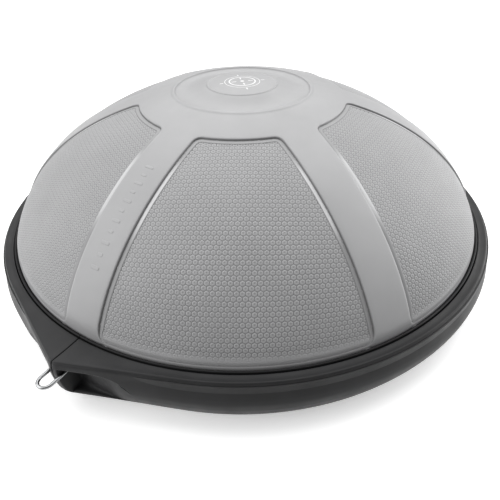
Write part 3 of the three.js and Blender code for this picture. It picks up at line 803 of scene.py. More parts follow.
def tile_sheet_map(dome):
    """A function that lays plan places of a flat tile sheet on the dome, about the +X axis."""
    rises = np.radians(np.linspace(8, 75, 900))

    def reach(rise, side):
        flat = (np.cos(side) * np.cos(rise)) ** 2 + np.sin(side) ** 2
        high = (np.cos(side) * np.sin(rise)) ** 2
        return 1 / np.sqrt(flat / CAP_AXIS**2 + high / CAP_RISE**2)

    middle = reach(rises, 0.0)
    line = np.stack([middle * np.cos(rises), middle * np.sin(rises)], axis=1)
    lengths = np.concatenate([[0], np.cumsum(np.linalg.norm(np.diff(line, axis=0), axis=1))])
    foot_height = np.interp(dome.foot_radius, MERIDIAN[0], MERIDIAN[2])
    lengths -= np.interp(foot_height - CAP_CENTRE, line[:, 1], lengths)
    sides = np.radians(np.linspace(0, 48, 120))

    def lay(across, up):
        x, y = np.empty(len(across)), np.empty(len(across))
        levels, which = np.unique(np.round(up, 3), return_inverse=True)
        order = np.argsort(which, kind="stable")
        splits = np.split(order, np.cumsum(np.bincount(which))[:-1])
        for level, chosen in zip(levels, splits):
            rise = np.interp(level, lengths, rises)
            far = reach(rise, sides)
            spots = far[:, None] * np.stack(
                [np.cos(sides) * math.cos(rise), np.sin(sides), np.cos(sides) * math.sin(rise)], axis=1
            )
            run = np.concatenate([[0], np.cumsum(np.linalg.norm(np.diff(spots, axis=0), axis=1))])
            side = np.interp(np.abs(across[chosen]), run, sides)
            reached = reach(rise, side)
            height = CAP_CENTRE + reached * np.cos(side) * math.sin(rise)
            turn = np.arctan2(np.sin(side) * np.sign(across[chosen]), np.cos(side) * math.cos(rise))
            spread = np.interp(-height, -MERIDIAN[2], MERIDIAN[0])
            x[chosen], y[chosen] = spread * np.cos(turn), spread * np.sin(turn)
        return x, y

    return lay


def tile_places(dome, lay):
    """Places on the flat sheet of the tiles that lie inside a panel."""
    sheet_length, half_columns, edge_margin = 250, 32, 2.6
    row_step = dome.tile_pitch * math.sqrt(3) / 2
    rows = np.arange(-4, int(sheet_length / row_step))
    columns = np.arange(-half_columns, half_columns + 1)
    row, column = [part.ravel() for part in np.meshgrid(rows, columns, indexing="ij")]
    across, up = (column + 0.5 * (row % 2)) * dome.tile_pitch, row * row_step
    inside = keep_in_panel(dome, *lay(across, up), edge_margin)
    return across[inside], up[inside]


def tile_mesh(dome):
    """One panel's field of tiles: hexagons with a raised brow and a dimple, on a thin closed body."""
    lay = tile_sheet_map(dome)
    pitch, sides, body = dome.tile_pitch, 12, 1.3
    across, up = tile_places(dome, lay)
    turns = np.arange(sides) * 2 * math.pi / sides
    flat_side = np.arange(sides) % 2 == 0
    reach = np.where(flat_side, pitch / 2, pitch / math.sqrt(3))
    brow = np.where(flat_side, 0.76, 0.71) * reach
    dimple = np.full(sides, 0.165 * pitch)
    count = len(across)
    flat = []
    for distance in (reach, brow, dimple):
        ring_x = across[:, None] + distance * np.cos(turns)
        ring_y = up[:, None] + distance * np.sin(turns)
        flat.append(np.stack([ring_x, ring_y], axis=-1).reshape(-1, 2))
    edge_places, edge_index = np.unique(np.round(flat[0], 3), axis=0, return_inverse=True)
    edges = len(edge_places)
    places = np.concatenate([edge_places, flat[1], flat[2], np.stack([across, up], axis=1)])
    # Heights as shares of the groove's or dimple's depth, for edges, brows, dimple rims and middles.
    groups = (edges, sides * count, sides * count, count)
    lift = np.repeat([0.0, 1.0, 0.62, 0.0], groups)
    # Painted shading of the same rings: painted shade in the grooves and the dimple's middle, plain rubber on
    # the brows.
    painted_shading = np.repeat([0.0, 1.0, 0.62, 0.1], groups)
    x, y = lay(places[:, 0], places[:, 1])
    radius = np.hypot(x, y)
    strength = 1 - smooth_step(radius, dome.foot_radius - 6.5, dome.foot_radius - 2.0)
    drop = np.full(len(places), dome.tile_groove)
    drop[-count:] = dome.tile_dimple
    ground = dome.panel_depth * foot_fade(radius, dome.foot_radius)
    top = on_cap(x, y, ground + strength * (1 - lift) * drop)
    under = on_cap(x[:edges], y[:edges], ground[:edges] + body)
    # The painted shade fades out near the foot, and the hidden underside is painted full shade.
    painted_shading = np.concatenate([1 - (1 - painted_shading) * strength, np.zeros(edges)])
    ring_a = edge_index.reshape(count, sides)
    ring_b = edges + np.arange(count)[:, None] * sides + np.arange(sides)[None, :]
    ring_c = ring_b + sides * count
    centre = np.repeat(edges + 2 * sides * count + np.arange(count)[:, None], sides, axis=1)

    def after(ring):
        return np.roll(ring, -1, axis=1)

    quads = [
        np.stack([ring, after(ring), after(inner), inner], axis=-1).reshape(-1, 4)
        for ring, inner in ((ring_a, ring_b), (ring_b, ring_c))
    ]
    fans = np.stack([ring_c, after(ring_c), centre], axis=-1).reshape(-1, 3)
    backs = (ring_a + len(top))[:, ::-1]
    walls = open_sides(ring_a, len(top))
    return fill_mesh("dome_tiles", np.concatenate([top, under]), [*quads, fans, backs, walls], painted_shading)


def open_sides(rings, low):
    """Walls from the edges that only one cell has down to their copies."""
    first, second = rings.ravel(), np.roll(rings, -1, axis=1).ravel()
    edges = dict.fromkeys(zip(first.tolist(), second.tolist()))
    return np.array([(b, a, a + low, b + low) for (a, b) in edges if (b, a) not in edges])


def keep_in_panel(dome, x, y, margin):
    """True for plan places that lie inside a panel's outline, by the margin at its sides and hub."""
    spoke = at_turn(1.0, SECTOR / 2)
    side = np.abs(spoke[1] * x - spoke[0] * np.abs(y)) - dome.band_half_width
    radius = np.hypot(x, y)
    inside = (side > margin) & (radius > dome.hub_radius + margin)
    inside &= radius < dome.foot_radius - 0.49 * margin
    return inside & (np.abs(np.arctan2(y, x)) < SECTOR / 2)


# ---- Marks on the dome ----


FINE_WELD = 0.0005 * MM  # for pieces whose detail is finer than weld's own distance
PRINT_SINK, PRINT_EDGE, PRINT_TOP = -0.3, 0.12, 0.16  # heights of printed marks over the crown


def pad_on_cap(name, outlines, height, sink=0.25):
    """Low closed pads on the dome: each outline is a loop of plan places about its own middle."""
    profile = ((1.0, -sink), (1.0, 0.45 * height), (0.9, 0.85 * height), (0.75, height), (0.4, height))
    points, faces, start = [], [], 0
    for loop in outlines:
        middle = loop.mean(axis=0)
        rings = []
        for part, lift in profile:
            place = middle + (loop - middle) * part
            rings.append(on_cap(place[:, 0], place[:, 1], -lift))
        more, sides = capped(rings, start)
        points.append(more)
        faces += sides
        start += len(more)
    return weld(fill_mesh(name, np.concatenate(points), faces), FINE_WELD)


def capsule(middle, along, half_length, half_width, steps=7):
    """A round-ended bar in plan."""
    along = np.array(along, float)
    aside = np.array([-along[1], along[0]])
    loop = []
    for end in (1, -1):
        for i in range(steps + 1):
            turn = math.pi * (i / steps - 0.5)
            loop.append(
                np.array(middle)
                + end * along * (half_length - half_width + half_width * math.cos(turn))
                + end * aside * half_width * math.sin(turn)
            )
    return np.array(loop)


def print_ring(inner, outer, height_at, start, sides=96):
    """Points and faces of a thin flat ring that follows the crown."""
    turns = full_turn(sides)
    profile = (
        (inner, PRINT_SINK),
        (inner, PRINT_EDGE),
        ((inner + outer) / 2, PRINT_TOP),
        (outer, PRINT_EDGE),
        (outer, PRINT_SINK),
    )
    rows = [circle(radius, height_at(radius) + lift, turns) for radius, lift in profile]
    return np.concatenate(rows), loft(len(profile), sides, start, wrap_rows=True, wrap_columns=True)


def centring_mark(dome):
    """Two rings, four pairs of ticks and a dot printed on the badge."""
    radii, heights = crown_outline(dome)

    def height_at(radius):
        return float(np.interp(radius, radii[::-1], heights[::-1]))

    points, faces, start = [], [], 0
    for inner, outer in ((14.6, 16.2), (20.4, 21.2)):
        more, quads = print_ring(inner, outer, height_at, start)
        points.append(more)
        faces.append(quads)
        start += len(more)
    loops = [capsule((0, 0), (1, 0), 2.41, 2.4)]
    for k in range(4):
        turn = k * math.pi / 2 + math.pi / 4
        for distance, half_length in ((10.0, 3.0), (25.0, 2.4)):
            loops.append(capsule(at_turn(distance, turn), at_turn(1, turn), half_length, 0.8))
    for loop in loops:
        middle = loop.mean(axis=0)
        rings = []
        for part, lift in ((1.0, PRINT_SINK), (1.0, PRINT_EDGE), (0.8, PRINT_TOP), (0.4, PRINT_TOP)):
            place = middle + (loop - middle) * part
            lifted = [height_at(distance) + lift for distance in np.hypot(place[:, 0], place[:, 1])]
            rings.append(np.column_stack([place, lifted]))
        more, sides = capped(rings, start)
        points.append(more)
        faces += sides
        start += len(more)
    return weld(fill_mesh("centring_mark", np.concatenate(points), faces), FINE_WELD)


# ---- Rim ----

RIM_HEIGHT = RIM_TOP - RIM_BOTTOM
CREST = 0.4  # how far the rim's outer edge stands above its top
CREST_INSET = -1.2  # and where it lies, from the rim's outline
BORE_LOW = 46.0  # height of the lower edge of the wall along the rim's bore
POCKET_ZONE = 110  # from the seam to where nothing of a pocket is left
MIDDLE_POINTS = 27  # of a section, whether it has a pocket there or not

# Rounded edges as shares of their size: along one wall, and along the other.
MOUTH_EDGE = ((1.1, 0.12), (0.5, 0.5), (0.12, 1.1))
BACK_EDGE = ((0.1, 1.2), (0.45, 0.45), (1.1, 0.1))
SHELF_STEPS = (0.25, 0.5, 0.75)

# The rim's outer face: share of the rim's height down from its top, and how far it lies outside
# the rim's outline on the ring and at a nose.
RIM_FACE = [
    (-0.0064, -1.2, -1.2),
    (-0.0040, -0.4, -0.4),
    (0.0100, 0.3, 0.4),
    (0.0300, 1.0, 1.5),
    (0.0600, 1.45, 2.2),
    (0.0900, 1.6, 2.6),
    (0.1200, 1.8, 3.0),
    (0.1600, 2.5, 3.3),
    (0.2000, 3.4, 3.6),
    (0.2500, 4.5, 3.75),
    (0.3100, 5.6, 3.8),
    (0.3900, 6.3, 3.5),
    (0.5050, 5.4, 2.8),
    (0.6250, 2.9, 1.4),
    (0.7550, -0.9, -1.8),
    (0.8700, -5.2, -6.6),
    (0.9500, -9.6, -10.6),
    (0.9880, -12.0, -13.0),
    (1.0000, -14.0, -15.0),
]


def pocket_shape(along, rim):
    """Roof and floor heights of a finger pocket at a distance from the seam."""
    roof, floor = RIM_TOP - 8.0, RIM_BOTTOM + 16.3
    far = rim.pocket_reach
    end = (roof + floor) / 2 - 4
    t = np.linspace(0, 1, 60)

    def bend(a, b, c, d):
        return (1 - t) ** 3 * a + 3 * t * (1 - t) ** 2 * b + 3 * t * t * (1 - t) * c + t**3 * d

    def arch(a, b, c):
        return (1 - t) ** 2 * a + 2 * t * (1 - t) * b + t * t * c

    roof_places = bend(0.38 * far, 0.66 * far, 0.86 * far, far)
    roof_at = np.interp(along, roof_places, bend(roof, roof, roof - 5, end))
    floor_at = np.interp(along, arch(0.8 * far, far, far + 0.01), arch(floor, floor, end))
    return float(roof_at), float(floor_at)


def soft_depth(depth):
    """A depth that runs out smoothly to nothing."""
    return 0.5 * (depth + math.sqrt(depth * depth + 2.0))


def rim_columns(rim):
    """Places along a quarter of the rim from the +X seam, as (x, y, direction, nose share, kind), and
    the middle of the nose's rounded tip."""
    tip_centre = (RING_RADIUS - rim.tip_radius) / math.cos(FLANK)
    flank_end = RING_RADIUS * math.sin(FLANK)
    flank_length = (RING_RADIUS - rim.tip_radius) * math.tan(FLANK)
    web, seam = rim.web, rim.seam
    columns = [(y, "web") for y in (seam, seam + 0.25, seam + 0.7, 1.8, 2.7, 3.6, 4.3, 4.8, 5.15, 5.38)]
    columns += [(web, "edge"), (web, "corner_a"), (web + 0.25, "corner_b"), (web + 0.9, "pocket")]
    y = web + 2.0
    while y < 90:
        columns.append((y, "pocket"))
        y += 1.25 if y < 30 or 62 < y < 78 else 2.0
    while y < flank_end - 1:
        columns.append((y, "flank"))
        y += 2.6
    made = []
    for y, kind in columns:
        if y <= rim.tip_radius * math.sin(FLANK):
            x, nose = tip_centre + math.sqrt(rim.tip_radius**2 - y**2), 1.0
        else:
            x = (RING_RADIUS - y * math.sin(FLANK)) / math.cos(FLANK)
            nose = float(smooth_step((flank_end - y) / math.cos(FLANK) / flank_length, 0, 0.8))
        made.append((x, y, FLANK * float(smooth_step(y, 84, flank_end)), nose, kind))
    for turn in np.linspace(FLANK, math.pi / 2, 70):
        made.append((*at_turn(RING_RADIUS, turn), turn, 0.0, "ring"))
    return made, tip_centre


class RimColumn:
    """One upright section of the rim. Distances run outwards from its place on the rim's outline."""

    def __init__(self, rim, face, tip_centre, place):
        x, self.y, self.lean, self.nose, self.kind = place
        self.rim, self.tip_centre = rim, tip_centre
        self.face = face[0], face[1] + (face[2] - face[1]) * self.nose
        self.base = np.array([x, self.y])
        self.direction = np.array([math.cos(self.lean), math.sin(self.lean)])
        self.back = self.at_radius(rim.pocket_back)
        self.place_pocket()

    def at_radius(self, radius):
        """How far out a distance from the dome's axis is reached."""
        along = self.base @ self.direction
        return -along + math.sqrt(max(0.0, along * along - self.base @ self.base + radius**2))

    def at_out(self, out):
        """How far out a line that runs outside the rim's outline is reached."""
        if self.kind == "ring":
            return out
        tip = self.rim.tip_radius + out
        if self.lean == 0 and self.y <= tip * math.sin(FLANK):
            return self.tip_centre + math.sqrt(tip**2 - self.y**2) - self.base[0]
        normal = at_turn(1.0, FLANK)
        return (RING_RADIUS + out - self.base @ normal) / (self.direction @ normal)

    def face_at(self, z):
        """How far out the rim's outer face lies at a height."""
        return self.at_out(float(np.interp((RIM_TOP - z) / RIM_HEIGHT, *self.face)))

    def depth_at(self, z):
        """How deep the pocket's back wall lies behind the face at a height."""
        return self.fading * soft_depth(self.face_at(z) - self.back)

    def place_pocket(self):
        """Sets where the pocket's mouth lies, how round its edges are and how it fades into the face."""
        y, reach, ring = self.y, self.rim.pocket_reach, self.kind == "ring"
        self.roof, self.floor = RIM_TOP - 30.0, RIM_TOP - 31.0
        if not ring and y < POCKET_ZONE:
            self.roof, self.floor = pocket_shape(y, self.rim)
        self.open_height = self.roof - self.floor
        spread = 1.0 if ring else float(smooth_step(y, reach - 1, reach + 22))
        self.guide_roof = self.roof + (RIM_TOP - 14.0 - self.roof) * spread
        self.guide_floor = self.floor + (RIM_BOTTOM + 20.0 - self.floor) * spread
        self.fading = 1 - float(smooth_step(y, 38, reach + 1))
        deep = self.kind in ("pocket", "flank", "corner_a", "corner_b")
        self.plain = spread > 0 or not deep or self.open_height < 0.6
        self.fillet = 1.0 if self.kind in ("web", "edge") else 0.0
        if deep:
            room = self.face_at((self.roof + self.floor) / 2) - self.back
            self.fillet = min(1.0, max(0.0, room) / 4, max(0.0, self.open_height) / 7)
        self.lip = min(2.6 * self.fillet, 0.22 * self.depth_at(self.floor))
        self.bowl = min(4.5 * self.fillet, 0.25 * self.depth_at(self.floor))

    def top(self):
        """The bore's edge and the dished top, out to the crest."""
        bore, crest = self.at_radius(self.rim.bore), self.at_out(CREST_INSET)
        dish = self.rim.dish * (1 - 0.4 * self.nose)
        section = [(bore, BORE_LOW), (bore, RIM_TOP - 1.2)]
        section += [(bore + 0.12, RIM_TOP - 0.55), (bore + 0.55, RIM_TOP - 0.12)]
        for part in np.linspace(0, 1, 13)[:-1]:
            sag = dish * math.sin(math.pi * min(1.0, part * 1.05)) ** 0.8 if 0 < part < 0.95 else 0.0
            section.append((bore + 1.0 + (crest - bore - 1.0) * part, RIM_TOP + CREST * part**3 - sag))
        return [*section, (crest, RIM_TOP + CREST)]

    def upper_face(self):
        """The outer face from the crest down to the pocket's roof."""
        start, end = RIM_TOP - RIM_FACE[1][0] * RIM_HEIGHT, self.guide_roof + 1.8 * self.fillet
        return [(self.face_at(z), z) for z in start + (end - start) * np.linspace(0, 1, 20) ** 1.35]

    def plain_middle(self):
        """The outer face where no pocket opens, drawn in at the edges of the link's wall."""
        sink = 1.0 if self.kind == "edge" else 0.0
        if self.kind == "web" and self.y > 5.0:
            sink = 0.12 if self.y < 5.3 else 0.42
        high, low = self.guide_roof + 1.1 * self.fillet, self.guide_floor - 1.1 * self.fillet
        section = []
        for z in np.linspace(high, low, MIDDLE_POINTS):
            part = max(0.0, min(1.0, (high - z) / 2.2, (z - low) / 2.2))
            section.append((self.face_at(z) - sink * part, z))
        return section

    def pocket(self):
        """The pocket's roof, back wall and floor with their rounded edges."""
        roof, floor, fillet, lip, bowl = self.roof, self.floor, self.fillet, self.lip, self.bowl
        corner_lift = {"corner_a": 1.2, "corner_b": 0.45}.get(self.kind, 0.0)

        def on_shelf(z, depth):
            return self.face_at(z) - min(depth, self.depth_at(z)), z

        def on_back(z, short):
            return self.face_at(z) - max(0.0, self.depth_at(z) - max(short, corner_lift)), z

        section = [on_shelf(roof + up * fillet, sunk * fillet) for up, sunk in MOUTH_EDGE]
        room = self.depth_at(roof) - 3.2 * fillet
        section += [on_shelf(roof, max(0.0, 1.6 * fillet + room * step)) for step in SHELF_STEPS]
        section += [on_back(roof - down * fillet, short * fillet) for down, short in BACK_EDGE]
        high, low = roof - 1.6 * fillet, floor + 1.6 * bowl
        section += [on_back(high + (low - high) * step, 0.0) for step in np.linspace(0, 1, 9)]
        section += [on_back(floor + up * bowl, short * bowl) for up, short in BACK_EDGE[::-1]]
        room = self.depth_at(floor) - 1.4 * lip - 1.6 * bowl
        section += [on_shelf(floor, max(0.0, 1.4 * lip + room * step)) for step in SHELF_STEPS[::-1]]
        return section + [on_shelf(floor - down * lip, sunk * lip) for down, sunk in MOUTH_EDGE[::-1]]

    def lower_face(self):
        """The outer face from the pocket's floor to the rim's underside."""
        start = self.guide_floor - (1.8 * self.fillet if self.plain else 1.5 * self.lip)
        return [(self.face_at(z), z) for z in start + (RIM_BOTTOM - start) * np.linspace(0, 1, 18) ** 0.8]

    def inside(self):
        """The rim's foot and the hollow behind its wall, back up to the bore."""
        wall, face_at = self.rim.wall, self.face_at
        foot, bore = self.at_radius(283.8), self.at_radius(self.rim.bore + 2.8)
        if self.kind == "ring" or self.open_height < 0.6 or self.y > self.rim.pocket_reach:
            over, under, back = 45.0, 25.0, face_at(35.0) - wall
        else:
            over, under, back = self.roof + wall, self.floor - wall, min(self.back, face_at(40.0)) - wall
        lower_wall = min(face_at(under) - wall, face_at(RIM_BOTTOM + 9.0) - wall + 4.0)
        return [
            (foot, RIM_BOTTOM),
            (foot, RIM_BOTTOM + 5.0),
            (face_at(RIM_BOTTOM + 8.0) - wall - 2.0, RIM_BOTTOM + 5.0),
            (lower_wall, min(under, RIM_BOTTOM + 12.0)),
            (back, under),
            (back, over),
            (max(back, face_at(over) - wall), min(over + 0.4, RIM_TOP - wall - 0.6)),
            (max(back, face_at(RIM_TOP - 5.0) - wall), RIM_TOP - wall),
            (bore, RIM_TOP - wall),
            (bore, BORE_LOW),
        ]

    def points(self):
        """The closed section as (x, y, z) points, with the edges along the seam broken."""
        top, outer = self.top(), self.upper_face()
        outer += self.plain_middle() if self.plain else self.pocket()
        outer += self.lower_face()
        chamfer = max(0.0, 0.45 - 0.9 * (self.y - self.rim.seam)) if self.kind == "web" else 0.0
        lowered = [(out, z - chamfer) for out, z in top[2:]]
        drawn_in = [(out - chamfer, z) for out, z in outer[:-2]]
        section = [*top[:2], *lowered, *drawn_in, *outer[-2:], *self.inside()]
        return [(*(self.base + self.direction * out), z) for out, z in section]


def rim_half(rim, crossbar):
    """The half of the rim on the -Y side of the seam, with its two blind holes for the links."""
    shares = np.array([row[0] for row in RIM_FACE])
    fine = np.sort(np.concatenate([np.linspace(shares[0], 0.2, 60), np.linspace(0.21, 1.0, 60)]))
    face = [fine] + [smooth_curve(shares, [row[k] for row in RIM_FACE], fine) for k in (1, 2)]
    columns, tip_centre = rim_columns(rim)
    quarter = np.array([RimColumn(rim, face, tip_centre, place).points() for place in columns])
    mirrored = quarter[:-1][::-1] * np.array([-1, 1, 1])
    points, faces = capped(np.concatenate([quarter, mirrored]) * np.array([1, -1, 1]))
    mesh = weld(fill_mesh("rim_half", points, faces), FINE_WELD)
    radius, half_length = 3.5, 7
    outline = [(0, -half_length), (radius, -half_length), (radius, half_length), (0, half_length)]
    drill = along_y(turned("drill", outline, full_turn(40)))
    for x in (-crossbar, crossbar):
        bit = drill.copy()
        bit.transform(Matrix.Translation((x * MM, -5.2 * MM, LINK_HEIGHT * MM)))
        mesh = cut_away(mesh, bit)
    return mesh


# ---- Fittings ----


def crossbar_place(fit):
    """How far from the dome's axis a link's crossbar lies."""
    return LINK_END - fit.wire - LINK_REACH


def link_mesh(fit):
    """A closed wire loop through the +X nose."""
    start, end = crossbar_place(fit), LINK_END - fit.wire - fit.leg
    inner = fit.leg - fit.bend
    crossbar = [(start, y) for y in np.linspace(-inner, inner, 12)[1:-1]]
    side = [
        (start + fit.bend * (1 - math.cos(turn)), inner + fit.bend * math.sin(turn))
        for turn in np.linspace(0, math.pi / 2, 10)
    ]
    side += [(x, fit.leg) for x in np.linspace(start + fit.bend, end, 14)[1:-1]]
    far_end = [
        (end + fit.leg * math.cos(turn), fit.leg * math.sin(turn))
        for turn in np.linspace(math.pi / 2, -math.pi / 2, 40)
    ]
    path = np.array([*crossbar, *side, *far_end, *[(x, -y) for x, y in side[::-1]]])
    tangent = np.roll(path, -1, axis=0) - np.roll(path, 1, axis=0)
    tangent /= np.linalg.norm(tangent, axis=1, keepdims=True)
    aside = np.stack([tangent[:, 1], -tangent[:, 0]], axis=1)
    turns = full_turn(24)
    rings = np.stack(
        [
            path[:, None, 0] + aside[:, None, 0] * fit.wire * np.cos(turns),
            path[:, None, 1] + aside[:, None, 1] * fit.wire * np.cos(turns),
            np.tile(LINK_HEIGHT + fit.wire * np.sin(turns), (len(path), 1)),
        ],
        axis=-1,
    )
    faces = [loft(*rings.shape[:2], wrap_rows=True, wrap_columns=True)]
    return weld(fill_mesh("link", rings.reshape(-1, 3), faces))


# A screw's head from its middle to its bearing face, as (radius, height).
HEAD = [
    *[(radius, -SCREW_HEAD) for radius in (0.0, 0.4, 0.8, 1.2, 1.6, 1.9, 2.1)],
    *[(2.4, -1.98), (2.8, -1.92), (3.2, -1.78), (3.6, -1.5), (3.85, -1.15), (4.0, -0.7), (4.0, 0.0)],
]


def screw_mesh(name, length, fit):
    """A pan head screw standing on its head, with a cross drive and a thread."""
    shank, thread_depth, pitch = 2.0, 0.32, 0.9
    turns = full_turn(48)
    rows = []
    for radius, height in HEAD:
        row = circle(radius, height, turns)
        arm = np.abs(row[:, :2]).min(axis=1)
        cross = (1 - smooth_step(arm, 0.30, 0.52)) * (1 - smooth_step(radius, 1.9, 2.3))
        row[:, 2] += fit.drive * cross * (1 - 0.35 * radius / 2.3)
        rows.append(row)
    profile = [(shank, 0.0)]
    z = 0.8
    while z < length - 2.4:
        profile += [(shank - thread_depth, z), (shank, z + 0.35), (shank - thread_depth, z + 0.7)]
        z += pitch
    profile += [(shank - 0.4, length - 1.8), (0.9, length - 0.6), (0.0, length)]
    rows += [circle(radius, height, turns) for radius, height in profile]
    faces = [loft(len(rows), len(turns), wrap_columns=True)]
    return weld(fill_mesh(name, np.concatenate(rows), faces))


def box_of(node):
    """A CAD node's lowest and highest corner, in millimetres."""
    return [[part / MM for part in corner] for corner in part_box(node)]


def around(node):
    """The plan middle and lowest height of a CAD node, in millimetres."""
    low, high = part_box(node)
    return (low[0] + high[0]) / 2 / MM, (low[1] + high[1]) / 2 / MM, low[2] / MM


def along_y(mesh):
    """Turns a mesh made about the Z axis to lie along the Y axis."""
    mesh.transform(Matrix.Rotation(math.pi / 2, 4, "X"))
    return mesh


# ---- Stage ----


def aimed(direction):
    """The turn of a light that shines in a direction."""
    return Vector(direction).to_track_quat("-Z", "Y").to_euler()


def add_floor(scene, stage):
    turns = full_turn(96)
    radii = (0.0, 200.0, 400.0, 800.0, 1600.0, 3200.0, 6400.0, 12000.0)
    rows = [circle(radius, 0.0, turns) for radius in radii]
    faces = [loft(len(rows), len(turns), wrap_columns=True)]
    mesh = weld(fill_mesh("floor", np.concatenate(rows), faces))
    made = Nodes("pale_floor")
    made.link(made.tinted((0.93, 0.93, 0.93), 0.99, 1.0, made.noise(3, 2)), made.shader.inputs["Base Color"])
    made.set(Roughness=0.6, Specular_IOR_Level=0.15)
    made.set(Emission_Color=(1, 1, 1, 1), Emission_Strength=stage.floor)
    floor = bpy.data.objects.new("floor", mesh)
    mesh.materials.append(made.material)
    scene.collection.objects.link(floor)
    floor.visible_diffuse = False


def add_sky(scene, stage):
    """A soft sky that lights the scene, in front of plain white."""
    world = bpy.data.worlds.new("sky")
    scene.world = world
    world.use_nodes = True
    nodes, links = world.node_tree.nodes, world.node_tree.links
    lit, seen = nodes["Background"], nodes.new("ShaderNodeBackground")
    for background, strength in ((lit, stage.sky), (seen, 1)):
        background.inputs["Color"].default_value = (1, 1, 1, 1)
        background.inputs["Strength"].default_value = strength
    mix, path = nodes.new("ShaderNodeMixShader"), nodes.new("ShaderNodeLightPath")
    links.new(path.outputs["Is Camera Ray"], mix.inputs["Fac"])
    links.new(lit.outputs["Background"], mix.inputs[1])
    links.new(seen.outputs["Background"], mix.inputs[2])
    links.new(mix.outputs["Shader"], nodes["World Output"].inputs["Surface"])


def add_lights(scene, stage):
    """One broad light from above and a soft square one on each side, turned to the dome."""
    sun = bpy.data.lights.new("overhead", "SUN")
    sun.energy, sun.angle = stage.overhead, math.radians(75)
    lamp = bpy.data.objects.new("overhead", sun)
    lamp.rotation_euler = aimed((-0.45, -0.28, -0.85))
    scene.collection.objects.link(lamp)
    middle, size = Vector((0, 0, 0.1)), 1.3
    for name, place, power in (
        ("side_left", (-1.0, 0.80, 0.75), stage.left),
        ("side_right", (0.75, -0.90, 0.60), stage.right),
    ):
        light = bpy.data.lights.new(name, "AREA")
        light.shape, light.size, light.energy = "SQUARE", size, power
        holder = bpy.data.objects.new(name, light)
        holder.location = place
        holder.rotation_euler = aimed(middle - Vector(place))
        scene.collection.objects.link(holder)


def add_camera(scene, stage):
    """The camera, which looks down on the -X nose and leans a little to one side."""
    lens = bpy.data.cameras.new("camera")
    lens.lens, lens.sensor_width = stage.lens, 36
    lens.clip_start, lens.clip_end = 0.01, 100
    camera = bpy.data.objects.new("camera", lens)
    forward = Vector((0.66878, 0.42272, -0.61160)).normalized()
    level = forward.cross(Vector((0, 0, 1))).normalized()
    upright = level.cross(forward)
    roll = math.radians(-1.263)
    right = level * math.cos(roll) + upright * math.sin(roll)
    up = upright * math.cos(roll) - level * math.sin(roll)
    turn = Matrix((right, up, -forward)).transposed().to_4x4()
    camera.matrix_world = Matrix.Translation((-0.4626, -0.2981, 0.3949)) @ turn
    scene.collection.objects.link(camera)
    scene.camera = camera


# ---- Operators ----


class MakeDome(bpy.types.Operator):
    """Builds the dome's shell with its bands, panel beds, roll, flange, hollow ring and badge"""

    bl_idname = "balance_dome.make_dome"
    bl_label = "Dome"

    def execute(self, context):
        mesh = dome_mesh(in_millimetres(context.scene.dome_sizes))
        made = add_piece("dome_shell", mesh, finishes().shell, "trainer", ["dome_skin"], 0)
        return {"FINISHED"}


class MakeTiles(bpy.types.Operator):
    """Lays a field of hexagonal grip tiles in each of the six panels"""

    bl_idname = "balance_dome.make_tiles"
    bl_label = "Grip tiles"

    def execute(self, context):
        field = tile_mesh(in_millimetres(context.scene.dome_sizes))
        finish = finishes().tile
        for k, turn in enumerate(SECTOR_TURNS, 1):
            place = Matrix.Rotation(turn, 4, "Z")
            add_piece(f"tile_field_{k:02d}", field.copy(), finish, "trainer", (), 0, place)
        return {"FINISHED"}


class MakeMarks(bpy.types.Operator):
    """Adds the row of small raised bars on one band and the centring mark on the badge"""

    bl_idname = "balance_dome.make_marks"
    bl_label = "Marks"

    def execute(self, context):
        dome = in_millimetres(context.scene.dome_sizes)
        first, gap, half_lengths, half_width = 172.0, 9.0, (5.2, 3.2), 1.25
        bars = [
            capsule((-first - gap * k, 0.0), (0.0, 1.0), half_lengths[k % 2], half_width) for k in range(11)
        ]
        mesh = pad_on_cap("band_bars", bars, dome.bar_height)
        add_piece("band_bars", mesh, finishes().band, "trainer", sharp_angle=0)
        mesh = centring_mark(dome)
        add_piece("centring_mark", mesh, finishes().mark, "trainer", sharp_angle=50)
        return {"FINISHED"}


class MakeRim(bpy.types.Operator):
    """Builds the two halves of the rim with their noses, finger pockets and link holes"""

    bl_idname = "balance_dome.make_rim"
    bl_label = "Rim"

    def execute(self, context):
        rim = in_millimetres(context.scene.rim_sizes)
        front = rim_half(rim, crossbar_place(in_millimetres(context.scene.fitting_sizes)))
        rear = front.copy()
        rear.transform(Matrix.Diagonal((1, -1, 1, 1)))
        rear.flip_normals()
        finish = finishes().rim
        for name, mesh in (("front", front), ("rear", rear)):
            add_piece(f"rim_shell_{name}", mesh, finish, "trainer", [f"rim_half_{name}"], 38)
        return {"FINISHED"}


class MakeClamp(bpy.types.Operator):
    """Builds the two halves of the clamp ring with their rounded lip"""

    bl_idname = "balance_dome.make_clamp"
    bl_label = "Clamp ring"

    def execute(self, context):
        outer, inner = FLANGE_RADIUS, SKIRT_RADIUS + FIT_GAP
        foot, wall = 4.6, 3.5
        outline = rounded(
            [
                (inner, CLAMP_BOTTOM, 0.4),
                (outer, CLAMP_BOTTOM, 0.4),
                (outer, CLAMP_BOTTOM + foot, 0.6),
                (inner + wall, CLAMP_BOTTOM + foot, 0.8),
                (inner + wall, CLAMP_TOP, 1.3),
                (inner + 1.5, CLAMP_TOP, 1.0),
                (inner, CLAMP_TOP - 2.8, 1.0),
            ],
            6,
        )
        half_slit = 0.35 / inner
        finish = finishes().clamp
        for name, start in (("front", -math.pi), ("rear", 0.0)):
            angles = np.linspace(start + half_slit, start + math.pi - half_slit, 241)
            mesh = turned(f"clamp_{name}", outline, angles, closed=False)
            add_piece(f"clamp_lip_{name}", mesh, finish, "trainer", [f"clamp_ring_{name}"])
        return {"FINISHED"}


